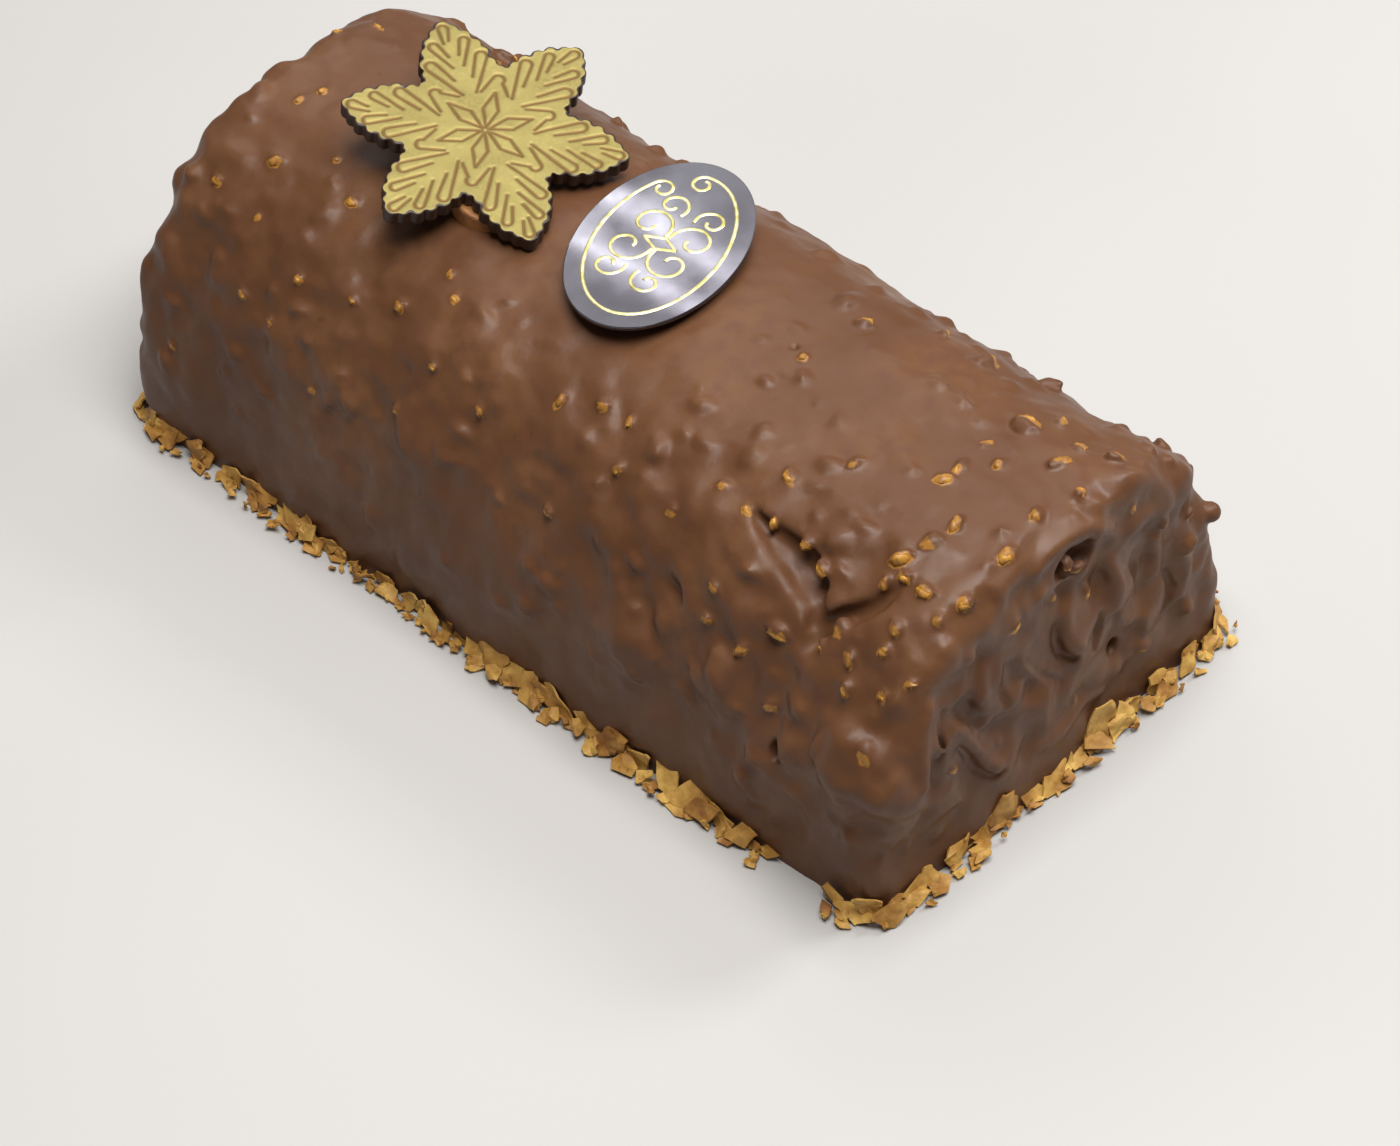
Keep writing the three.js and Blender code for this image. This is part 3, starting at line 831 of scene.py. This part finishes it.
def down_slope(normal):
    """The way down along the surface, or towards the near side where it is level."""
    down = Vector((0, 0, -1))
    along = down - normal * down.dot(normal)
    if along.length < 0.05:
        return Vector((0, -1, 0))
    return along.normalized()


def set_nuts(nuts, shapes, seed, **settings):
    draw = seeded_random(seed)
    placed = []
    for index, (point, normal, radius) in enumerate(nuts):
        place = nut_place(point, normal, radius, draw, **settings)
        placed.append(copy_of(shapes[index % len(shapes)], place))
    return placed


def set_tips(nuts, shapes, seed):
    """The same nuts again, a little smaller and lower on the slope, so that their corners show."""
    draw = seeded_random(seed)
    draw_scale = seeded_random(seed + 1)
    tips = []
    for index, (point, normal, radius) in enumerate(nuts):
        scale = between(*TIP_SCALES, draw_scale())
        aside = normal * TIP_PROUD + down_slope(normal) * TIP_ASIDE
        place = nut_place(point, normal, radius, draw, scale=scale, aside=aside)
        tips.append(copy_of(shapes[index % len(shapes)], place))
    return joined("nut_tips", tips)


def thin_glaze_values(piece, tips):
    """1 where the glaze over a nut is thin as a skin, falling to 0 beside it."""
    tree = BVHTree.FromObject(tips, bpy.context.evaluated_depsgraph_get())
    values = []
    for vertex in piece.data.vertices:
        spot, facing, index, distance = tree.find_nearest(vertex.co, THIN_GLAZE * MM)
        values.append(0.0 if spot is None else 1 - smooth_step(distance / MM, 0.1, THIN_GLAZE))
    return values


def weighted(piece, name, share_at):
    """A vertex group whose weight at each point, in mm, is given by a function."""
    group = piece.vertex_groups.new(name=name)
    for vertex in piece.data.vertices:
        share = share_at(vertex.co / MM)
        if share > 0.01:
            group.add([vertex.index], share, "REPLACE")
    return name


def busy_share(point):
    """1 where nuts crowd under the glaze: the front third, the near shoulder and both ends."""
    front = smooth_step(point.x, 30, 80)
    shoulder = smooth_step(-point.y, 15, 35) * smooth_step(point.z, 28, 45)
    rear = smooth_step(-point.x, 60, 100)
    end = smooth_step(abs(point.x), HALF_LENGTH - 6, HALF_LENGTH - 2)
    foot = smooth_step(point.z, 8, 24)
    return min(1.0, 0.12 + 0.4 * front + 0.8 * shoulder + 0.25 * rear + 0.5 * end) * foot


def side_share(point):
    """1 on the steep sides, fading towards the crest and the foot."""
    return smooth_step(LOG_HEIGHT - point.z, 8, 30) * smooth_step(point.z, 0, 10)


def end_share(point):
    """1 on the two ends, fading towards the foot."""
    return smooth_step(abs(point.x), HALF_LENGTH - 5, HALF_LENGTH - 1) * smooth_step(point.z, 4, 20)


def remeshed(piece, voxel, smoothing):
    """Melts what overlaps into one skin of squares of this size, in mm, and smooths it."""
    shaped(piece, "REMESH", mode="VOXEL", voxel_size=voxel * MM)
    shaped(piece, "SMOOTH", factor=0.5, iterations=smoothing)
    return piece


def folded_glaze():
    """The glazed log with its lobes, hollows and slow folds, before any nuts."""
    swells = [ellipsoid("swell", place, half_sizes) for place, half_sizes in SWELLS]
    log = remeshed(joined("glaze", [bare_log(), *swells]), FIRST_VOXEL, 4)
    for run in SUNKEN_RUNS:
        cut_away(log, run_tube(run, -0.2))
    remeshed(log, FIRST_VOXEL, 4)
    pushed(log, "slow_waves", 34, 4.0)
    sides = weighted(log, "side", side_share)
    pushed(log, "side_folds", 9, 3.2, stretch=(1.0, 2.2, 2.6), group=sides)
    pushed(log, "lumps", 8.0, 3.6, group=weighted(log, "busy", busy_share))
    ends = weighted(log, "ends", end_share)
    pushed(log, "end_runs", 6.5, 4.0, stretch=(1.0, 1.0, 1.9), group=ends)
    carve_creases(log)
    return log


def make_glaze(material, nut_material):
    """The glazed log: hidden nuts first, then furrows and holes, then the nuts that show."""
    log = folded_glaze()
    showing, hidden = [on_surface(log, nuts) for nuts in all_nuts()]
    shapes = nut_shapes()
    raised = [run_tube(run, -0.1) for run in RAISED_RUNS]
    raised += [end_tube(log, run, -0.15) for run in END_DRIPS]
    log = joined("glaze", [log, *raised, *set_nuts(hidden, shapes, HIDDEN_SEED, sink=HIDDEN_SINK)])
    remeshed(log, MIDDLE_VOXEL, 2)
    carve_details(log)
    bpy.ops.mesh.primitive_ico_sphere_add(
        subdivisions=3, radius=PROUD_NUT_RADIUS * MM, location=Vector(PROUD_NUT_PLACE) * MM,
    )
    proud_nut = place_in_mesh(added("proud_nut"))
    log = joined("glaze", [log, proud_nut, *set_nuts(showing, shapes, SHOWING_SEED)])
    remeshed(log, FINE_VOXEL, 2)
    pushed(log, "skin", 5, 0.5)
    thinned(log, GLAZE_TRIANGLES)
    edit_all(log)
    cut_flat((0, 0, 0), (0, 0, 1), use_fill=True, clear_inner=True)
    leave_edit()
    smooth_by_angle(log, 60)
    tips = set_tips(showing, shapes, SHOWING_SEED)
    point_attribute(log, "thin_glaze", thin_glaze_values(log, tips))
    discard(*shapes)
    finished(log, "glaze", material, ["log_cake"])
    smooth_by_angle(tips, 75)
    finished(tips, "nut_tips", nut_material)


# Wafer flakes round the foot

FLAKE_SHAPES = 10
FLAKE_SHAPE_SEED = 17
FLAKE_ROW_SEED = 5
FLAKE_HALF_SIZE = 4.6
FLAKE_THICKNESS = 0.45
FOOT_CORNER = 7.5
# Flakes crowd and thin out along the foot, and are missing where the crowd falls below this
FLAKE_GAP = -1.7
# Rows from the log outwards: the spacing along the foot, then the ranges of the distance out, in
# mm, of the lean in degrees and of the size
FLAKE_ROWS = [
    (4.8, (0.2, 1.4), (0, 45), (0.6, 1.25)),
    (4.8, (1.0, 3.2), (25, 80), (0.45, 1.05)),
    (4.4, (2.0, 4.6), (40, 88), (0.2, 0.55)),
]


def wafer_shapes():
    """Thin broken shards: a crumpled disc snapped along three or four straight breaks."""
    draw = seeded_random(FLAKE_SHAPE_SEED)
    shapes = []
    for index in range(FLAKE_SHAPES):
        bpy.ops.mesh.primitive_circle_add(
            vertices=8, radius=FLAKE_HALF_SIZE * MM, fill_type="TRIFAN",
        )
        flake = added(f"wafer_{index}")
        edit_all(flake)
        bpy.ops.transform.vertex_random(offset=1.1 * MM, seed=index + 3)
        breaks = 3 + index % 2
        for step in range(breaks):
            turn = 2 * math.pi * (step + 0.5 * draw()) / breaks
            direction = Vector((math.cos(turn), math.sin(turn), 0))
            reach = between(0.45, 0.85, draw()) * FLAKE_HALF_SIZE * MM
            cut_flat(direction * reach, direction, clear_outer=True)
        bpy.ops.mesh.select_all(action="SELECT")
        bpy.ops.mesh.subdivide(number_cuts=2, fractal=2.6, fractal_along_normal=0.35, seed=index)
        leave_edit()
        shaped(flake, "SIMPLE_DEFORM", deform_method="BEND", angle=math.radians(10 + 8 * (index % 4)))
        shaped(flake, "SOLIDIFY", thickness=FLAKE_THICKNESS * MM, offset=0)
        shapes.append(flake)
    return shapes


def foot_outline(distance):
    """The place and direction on the log's rounded foot, so many mm round from the near side."""
    quarter = math.pi / 2 * FOOT_CORNER
    lengths = [LOG_LENGTH - 2 * FOOT_CORNER, quarter, LOG_WIDTH - 2 * FOOT_CORNER, quarter] * 2
    place = Vector((-HALF_LENGTH + FOOT_CORNER, -HALF_WIDTH))
    heading = 0.0
    for index, length in enumerate(lengths):
        part = min(distance, length)
        turning = index % 2 == 1
        if turning:
            centre = place + Vector((-math.sin(heading), math.cos(heading))) * FOOT_CORNER
            heading += part / FOOT_CORNER
            place = centre + Vector((math.sin(heading), -math.cos(heading))) * FOOT_CORNER
        else:
            place = place + Vector((math.cos(heading), math.sin(heading))) * part
        distance -= part
        if distance <= 0:
            break
    return place, heading


def foot_length():
    return 2 * (LOG_LENGTH + LOG_WIDTH) - (8 - 2 * math.pi) * FOOT_CORNER


def set_flake(shape, distance, outward, lean, spin, size, draw):
    """Stands or lays a flake at the foot: lean 0 is upright against the log, 90 flat."""
    place, heading = foot_outline(distance)
    turn = Matrix.Rotation(heading, 4, "Z")
    tip = Matrix.Rotation(math.radians(90 - lean), 4, "X")
    narrow = Matrix.Diagonal((size, size * between(0.5, 0.85, draw()), 1, 1))
    own = Matrix.Rotation(1.3 * (draw() - 0.5), 4, "Z") @ narrow @ Matrix.Rotation(spin, 4, "Z")
    outwards = Vector((math.sin(heading), -math.cos(heading)))
    foot = place + outwards * outward
    flake = copy_of(shape, turn @ tip @ own)
    lowest = min(vertex.co.z for vertex in flake.data.vertices)
    lift = 0.15 * MM + 1.1 * MM * draw() ** 3 - lowest
    flake.data.transform(Matrix.Translation((foot.x * MM, foot.y * MM, lift)))
    tone = draw()
    point_attribute(flake, "tone", [tone] * len(flake.data.vertices))
    return flake


def flake_row(shapes, draw, pitch, outward, lean, size):
    """A row of flakes all round the foot."""
    count = round(foot_length() / pitch)
    row = []
    for index in range(count):
        distance = (index + 0.8 * draw()) * pitch
        crowd = math.sin(distance / 23.0 + 2.6) + math.sin(distance / 9.1 + 2.35)
        if crowd < FLAKE_GAP:
            continue
        swell = 1 + 0.14 * crowd
        row.append(set_flake(
            shapes[int(draw() * len(shapes))], distance,
            between(*outward, draw()), between(*lean, draw()),
            2 * math.pi * draw(), swell * between(*size, draw()), draw,
        ))
    return row


def make_flakes(material):
    draw = seeded_random(FLAKE_ROW_SEED)
    shapes = wafer_shapes()
    flakes = []
    for row in FLAKE_ROWS:
        flakes += flake_row(shapes, draw, *row)
    discard(*shapes)
    piece = joined("wafer_flakes", flakes)
    smooth_by_angle(piece, 35)
    finished(piece, "wafer_flakes", material)


# Snowflake

SNOW_VOXEL = 0.26
SNOW_TRIANGLES = 150000
# Lobes along one side of an arm: along, across and radius, in mm
ARM_LOBES = [
    (17.2, 6.9, 1.5), (20.2, 6.4, 1.6), (23.0, 5.3, 1.6), (25.6, 3.9, 1.6), (27.7, 2.0, 1.5),
]
TIP_LOBE = (28.9, 0.0, 1.9)
HUB_RADIUS = 18.4
ARM_START = 14.0
ARM_HALF_WIDTHS = (7.8, 1.6)
# Leaves engraved on an arm: start, end of its middle line, half width, length of the short side
ARM_LEAVES = [
    ((10.2, 1.5), (19.4, 5.6), 1.25, 6.0),
    ((17.8, 1.2), (24.4, 3.4), 1.05, 4.0),
]
TIP_LEAF = ((24.6, 1.1), (28.5, 0.0), 1.1, 3.2)
# The leaf and the diamond that point to the notch between two arms
NOTCH_LEAF = ((10.0, 2.9), (14.0, 0.0), 1.25, 0.1)
DIAMOND = [(0.7, 0.0), (5.6, 1.65), (10.4, 0.0), (5.6, -1.65), (0.7, 0.0)]
# How far from its middle line a groove starts to fall, which is also how far the shade painted in it
# reaches, and how deep it is, in mm
GROOVE_REACH = 0.66
GROOVE_DEPTH = 0.26
# How far in from the rim the gold has rubbed off, how much that varies, and how softly it ends
# there and down the sides, in mm
RIM_RUBBED = 0.4
RIM_VARIES = 0.25
RIM_SOFTNESS = 0.3
GILT_FADE = (1.5, 0.7)


def turned(points, degrees):
    turn = Matrix.Rotation(math.radians(degrees), 2)
    return [turn @ Vector(point) for point in points]


def leaf_line(start, end, half_width, short_side):
    """A long side from start, round the end, and a short way back, in mm."""
    start = Vector(start)
    end = Vector(end)
    along = (end - start).normalized()
    aside = Vector((-along.y, along.x))
    line = [start]
    for step in range(9):
        angle = math.pi / 2 - math.pi * step / 8
        line.append(end + (aside * math.sin(angle) + along * math.cos(angle)) * half_width)
    line.append(line[-1] - along * short_side)
    return line


def engraved_lines():
    """The engraved lines of one sixth of the snowflake."""
    lines = []
    for start, end, half_width, short_side in ARM_LEAVES:
        line = leaf_line(start, end, half_width, short_side)
        lines.append(line)
        lines.append([Vector((point.x, -point.y)) for point in line])
    notch = leaf_line(*NOTCH_LEAF)[:-1]
    notch.append(Vector((notch[0].x, -notch[0].y)))
    between_arms = 180 / SNOW_ARMS
    lines += [leaf_line(*TIP_LEAF), turned(notch, between_arms), turned(DIAMOND, between_arms)]
    return lines


def snow_disc(place, radius):
    bpy.ops.mesh.primitive_cylinder_add(
        vertices=32, radius=radius * MM, depth=2 * SNOW_HALF_THICKNESS * MM,
        location=(place[0] * MM, place[1] * MM, 0),
    )
    return place_in_mesh(added("lobe"))


def arm_body():
    """An arm's middle, tapering towards its tip."""
    length = TIP_LOBE[0] - ARM_START
    bpy.ops.mesh.primitive_cube_add(
        size=1, location=((ARM_START + length / 2) * MM, 0, 0),
        scale=(length * MM, 2 * ARM_HALF_WIDTHS[0] * MM, 2 * SNOW_HALF_THICKNESS * MM),
    )
    body = place_in_mesh(added("arm"))
    edit_chosen(body, "VERT", lambda vertex: vertex.co.x > 20 * MM)
    bpy.ops.transform.resize(value=(1, ARM_HALF_WIDTHS[1] / ARM_HALF_WIDTHS[0], 1))
    leave_edit()
    return body


def snow_plate():
    """The plain snowflake: six arms with scalloped edges on a six-sided hub."""
    parts = [arm_body(), snow_disc(TIP_LOBE, TIP_LOBE[2])]
    for along, across, radius in ARM_LOBES:
        parts.append(snow_disc((along, across), radius))
        parts.append(snow_disc((along, -across), radius))
    arm = joined("arm", parts)
    arms = [arm]
    for index in range(1, SNOW_ARMS):
        arms.append(copy_of(arm, Matrix.Rotation(index * 2 * math.pi / SNOW_ARMS, 4, "Z")))
    bpy.ops.mesh.primitive_cylinder_add(
        vertices=6, radius=HUB_RADIUS * MM, depth=2 * SNOW_HALF_THICKNESS * MM,
    )
    hub = added("hub")
    return joined("plate", [hub, *arms])


def line_frame(lines):
    """A wire of edges along the engraved lines, level with the snowflake's top."""
    vertices = []
    edges = []
    for sixth in range(SNOW_ARMS):
        for line in lines:
            first = len(vertices)
            points = turned(line, 360 * sixth / SNOW_ARMS)
            vertices += [(point.x * MM, point.y * MM, SNOW_HALF_THICKNESS * MM) for point in points]
            edges += [(first + step, first + step + 1) for step in range(len(points) - 1)]
    mesh = bpy.data.meshes.new("engraved_lines")
    mesh.from_pydata(vertices, edges, [])
    return in_scene("engraved_lines", mesh)


def group_values(piece, name):
    index = piece.vertex_groups[name].index
    values = []
    for vertex in piece.data.vertices:
        found = [member.weight for member in vertex.groups if member.group == index]
        values.append(found[0] if found else 0.0)
    return values


def engrave(plate):
    """Sinks the top along the engraved lines, and keeps how near they are as groove, where the material
    paints shade.
    """
    lines = line_frame(engraved_lines())
    group = plate.vertex_groups.new(name="near_line")
    top = [v.index for v in plate.data.vertices if v.co.z > (SNOW_HALF_THICKNESS - 0.6) * MM]
    group.add(top, 1.0, "REPLACE")
    shaped(
        plate, "VERTEX_WEIGHT_PROXIMITY", vertex_group="near_line", target=lines,
        proximity_mode="GEOMETRY", proximity_geometry={"EDGE"},
        min_dist=GROOVE_REACH * MM, max_dist=0.1 * MM, falloff_type="SMOOTH",
    )
    shaped(
        plate, "DISPLACE", vertex_group="near_line", direction="Z",
        strength=-GROOVE_DEPTH * MM, mid_level=0.0,
    )
    # The groove share marks where the material paints shade into the grooves
    point_attribute(plate, "groove", group_values(plate, "near_line"))
    discard(lines)


def gilt_values(plate):
    """1 on the dusted top, falling to 0 at its rim, where the gold has rubbed off, and below."""
    sides = [vertex.co for vertex in plate.data.vertices if abs(vertex.co.z) < 0.5 * MM]
    tree = KDTree(len(sides))
    for index, side in enumerate(sides):
        tree.insert((side.x, side.y, 0), index)
    tree.balance()
    low, high = (SNOW_HALF_THICKNESS - depth for depth in GILT_FADE)
    values = []
    for vertex in plate.data.vertices:
        x, y, z = vertex.co / MM
        spot, index, distance = tree.find((vertex.co.x, vertex.co.y, 0))
        rubbed = RIM_RUBBED + RIM_VARIES * math.sin(0.9 * x) * math.sin(1.1 * y)
        inside = smooth_step(distance / MM, rubbed - RIM_SOFTNESS, rubbed + RIM_SOFTNESS)
        values.append(inside * smooth_step(z, low, high))
    return values


def snow_place():
    return (
        Matrix.Translation(Vector(SNOW_CENTRE) * MM)
        @ Matrix.Rotation(math.radians(SNOW_TIP_Y), 4, "Y")
        @ Matrix.Rotation(math.radians(SNOW_TIP_X), 4, "X")
        @ Matrix.Rotation(math.radians(SNOW_SPIN), 4, "Z")
    )


def make_snowflake(material):
    plate = snow_plate()
    remeshed(plate, SNOW_VOXEL, 4)
    engrave(plate)
    pushed(plate, "casting", 6, 0.25)
    point_attribute(plate, "gilt", gilt_values(plate))
    plate.data.transform(snow_place())
    thinned(plate, SNOW_TRIANGLES)
    smooth_by_angle(plate, 50)
    finished(plate, "gilded_snowflake", material, ["snowflake_plaque"])


def make_dab(material):
    """A disc cut flush under the snowflake, with its foot in the glaze, and softened all round."""
    bpy.ops.mesh.primitive_cylinder_add(
        vertices=64, radius=DAB_RADIUS * MM, depth=DAB_DEPTH * MM, location=Vector(DAB_CENTRE) * MM,
    )
    disc = place_in_mesh(added("dab"))
    underside = snow_place() @ Vector((0, 0, -(SNOW_HALF_THICKNESS + SNOW_GAP) * MM))
    facing = snow_place().to_3x3() @ Vector((0, 0, 1))
    edit_all(disc)
    cut_flat(underside, facing, use_fill=True, clear_outer=True)
    cut_flat((0, 0, DAB_FOOT * MM), (0, 0, 1), use_fill=True, clear_inner=True)
    leave_edit()
    remeshed(disc, DAB_VOXEL, 6)
    bpy.ops.object.shade_smooth()
    finished(disc, "plaque_dab_soft", material, ["plaque_dab"])


# Oval tag

def tag_place():
    return Matrix.Translation(Vector(TAG_CENTRE) * MM) @ Matrix.Rotation(TAG_TURN, 4, "Z")


def make_tag(material):
    bpy.ops.mesh.primitive_cylinder_add(
        vertices=96, radius=1, depth=1,
        scale=(TAG_HALF_LENGTH * MM, TAG_HALF_WIDTH * MM, TAG_THICKNESS * MM),
    )
    tag = place_in_mesh(added("tag"))
    shaped(tag, "BEVEL", width=0.2 * MM, segments=3, limit_method="ANGLE")
    tag.data.transform(tag_place())
    smooth_by_angle(tag, 12)
    finished(tag, "oval_tag", material, ["oval_plaque"])


def spiral(start, heading, radius, degrees, shrink, steps=24):
    """A line that sets off on a heading, in radians, and curls ever tighter; positive degrees
    curl left."""
    points = [Vector(start)]
    turn = math.radians(degrees) / steps
    for step in range(steps):
        share = step / steps
        stride = abs(turn) * radius * (1 - shrink * share)
        heading += turn
        points.append(points[-1] + Vector((math.cos(heading), math.sin(heading))) * stride)
    return points


# The printed line round the tag, in mm and degrees, and how thick and how flat the print is
OVAL_HALF_LENGTH = 22.4
OVAL_HALF_WIDTH = 13.9
OVAL_FROM = 40
OVAL_TO = 359
OVAL_STEPS = 60
LINE_RADIUS = 0.42
LINE_FLATNESS = 0.35
FLOURISH_TURN = -12


def oval_line():
    """The line round the tag, open towards its far end."""
    points = []
    for step in range(OVAL_STEPS + 1):
        angle = math.radians(between(OVAL_FROM, OVAL_TO, step / OVAL_STEPS))
        points.append(Vector((OVAL_HALF_LENGTH * math.cos(angle), OVAL_HALF_WIDTH * math.sin(angle))))
    return points


def mirrored(line, side, end):
    """The line with its y times side and its x times end, each 1 or -1."""
    return [Vector((end * point.x, side * point.y)) for point in line]


def flourish():
    """A quarter of the scrollwork: two scrolls and a side of the middle lozenge."""
    return [
        [Vector((2.2, 0.4)), *spiral((3.8, 0.5), 0.0, 4.9, 380, 0.8, 32)],
        spiral((9.0, 1.7), -0.5, 3.7, 400, 0.82, 32),
        [Vector((1.9, 0.0)), Vector((0.0, 4.2))],
    ]


def make_ornament(material):
    """The oval line with both ends curled inwards, and the scrollwork inside it."""
    oval = oval_line()
    lines = [oval, spiral(oval[0], -0.63, 2.5, -360, 0.55), spiral(oval[-1], 1.5, 2.5, 360, 0.55)]
    for side in (-1, 1):
        for end in (-1, 1):
            lines += [turned(mirrored(line, side, end), FLOURISH_TURN) for line in flourish()]
    height = TAG_THICKNESS / 2
    tubes = [tube("line", [(x, y, height) for x, y in line], LINE_RADIUS) for line in lines]
    piece = joined("ornament", tubes)
    edit_all(piece)
    bpy.ops.transform.resize(value=(1, 1, LINE_FLATNESS), center_override=(0, 0, height * MM))
    leave_edit()
    piece.data.transform(tag_place())
    smooth_by_angle(piece, 50)
    finished(piece, "tag_ornament", material)


# Floor, light and camera

def make_floor():
    bpy.ops.mesh.primitive_plane_add(size=6, location=(0, 0, 0))
    floor = added("floor")
    material, tree = new_material("pale_matt_floor")
    colour = mottled(tree, "#ABA9A7", "#B1AFAD", 300, 2.0, 0.3, 0.7)
    coated(material, {"Roughness": 0.8, "Base Color": colour})
    floor.data.materials.append(material)


def stood(name, data, place, side, back):
    """A lamp or camera at a place, with its x and z axes along side and back."""
    turn = Matrix((side, back.cross(side), back)).transposed().to_4x4()
    piece = in_scene(name, data)
    piece.matrix_world = Matrix.Translation(place) @ turn
    return piece


def soft_light(name, place, target, size, power, colour):
    """A rectangular lamp that faces its target, its width level; size in metres, power in watts."""
    data = bpy.data.lights.new(name, "AREA")
    data.shape = "RECTANGLE"
    data.size, data.size_y = size
    data.energy = power
    data.color = colour
    back = (place - target).normalized()
    stood(name, data, place, (Vector((1, 0, 0)) - back * back.x).normalized(), back)


# Lamps, in metres
STUDIO_MIDDLE = Vector((0, 0, 0.03))
OVERHEAD_PLACE = Vector((0.18, 0.0, 0.98)) * 1.2
WINDOW_PLACE = Vector((0.31, 0.65, 0.66)) * 1.3
# The panel and the narrow strips that the tag mirrors, as seen from the tag
PANEL_PLACE = Vector((-0.5, 0.48, 0.72)) * 1.5
STRIP_PLACE = Vector((-0.54, 0.51, 0.67))
STRIP_COUNT = 2
STRIP_PITCH = 0.022
STRIP_SIZE = (0.9, 0.009)
SKY_STRENGTH = 0.13

# The camera, in metres, as solved from the photograph, with its lens in mm
CAMERA_PLACE = Vector((0.505877, -0.478363, 0.703255))
CAMERA_FORWARD = Vector((-0.50045, 0.48179, -0.71933))
CAMERA_UP = Vector((-0.48003, 0.53704, 0.69366))
CAMERA_LENS = 117.687


def make_camera():
    data = bpy.data.cameras.new("camera")
    data.lens = CAMERA_LENS
    data.sensor_width = 36
    data.clip_start = 0.01
    back = -CAMERA_FORWARD.normalized()
    right = CAMERA_UP.cross(back).normalized()
    bpy.context.scene.camera = stood("camera", data, CAMERA_PLACE, right, back)


def make_lights():
    tag = Vector(TAG_CENTRE) * MM
    middle = STUDIO_MIDDLE
    soft_light("overhead", OVERHEAD_PLACE, middle, (0.75, 0.75), 22.5, (1.0, 0.985, 0.96))
    soft_light("window", WINDOW_PLACE, middle, (0.3, 0.3), 6.5, (0.93, 0.97, 1.0))
    soft_light("back_panel", tag + PANEL_PLACE, tag, (1.2, 1.2), 6.4, (0.97, 0.98, 1.0))
    aside = PANEL_PLACE.cross(Vector((1, 0, 0))).normalized()
    for step in range(STRIP_COUNT):
        place = tag + STRIP_PLACE + aside * STRIP_PITCH * (step - (STRIP_COUNT - 1) / 2)
        soft_light(f"strip_{step}", place, tag, STRIP_SIZE, 0.2, (0.96, 0.98, 1.0))
    world = bpy.data.worlds.new("studio")
    bpy.context.scene.world = world
    world.use_nodes = True
    tree = world.node_tree
    set_inputs(tree, tree.nodes["Background"].inputs, {"Color": "#F7EFE6", "Strength": SKY_STRENGTH})


def main():
    bpy.context.scene.view_settings.view_transform = "Standard"
    make_glaze(milk_chocolate_glaze(), roasted_nut())
    make_flakes(baked_wafer())
    make_snowflake(gilded_chocolate())
    make_dab(caramel_chocolate())
    make_tag(tag_foil())
    make_ornament(gold_print())
    make_floor()
    make_camera()
    make_lights()


main()
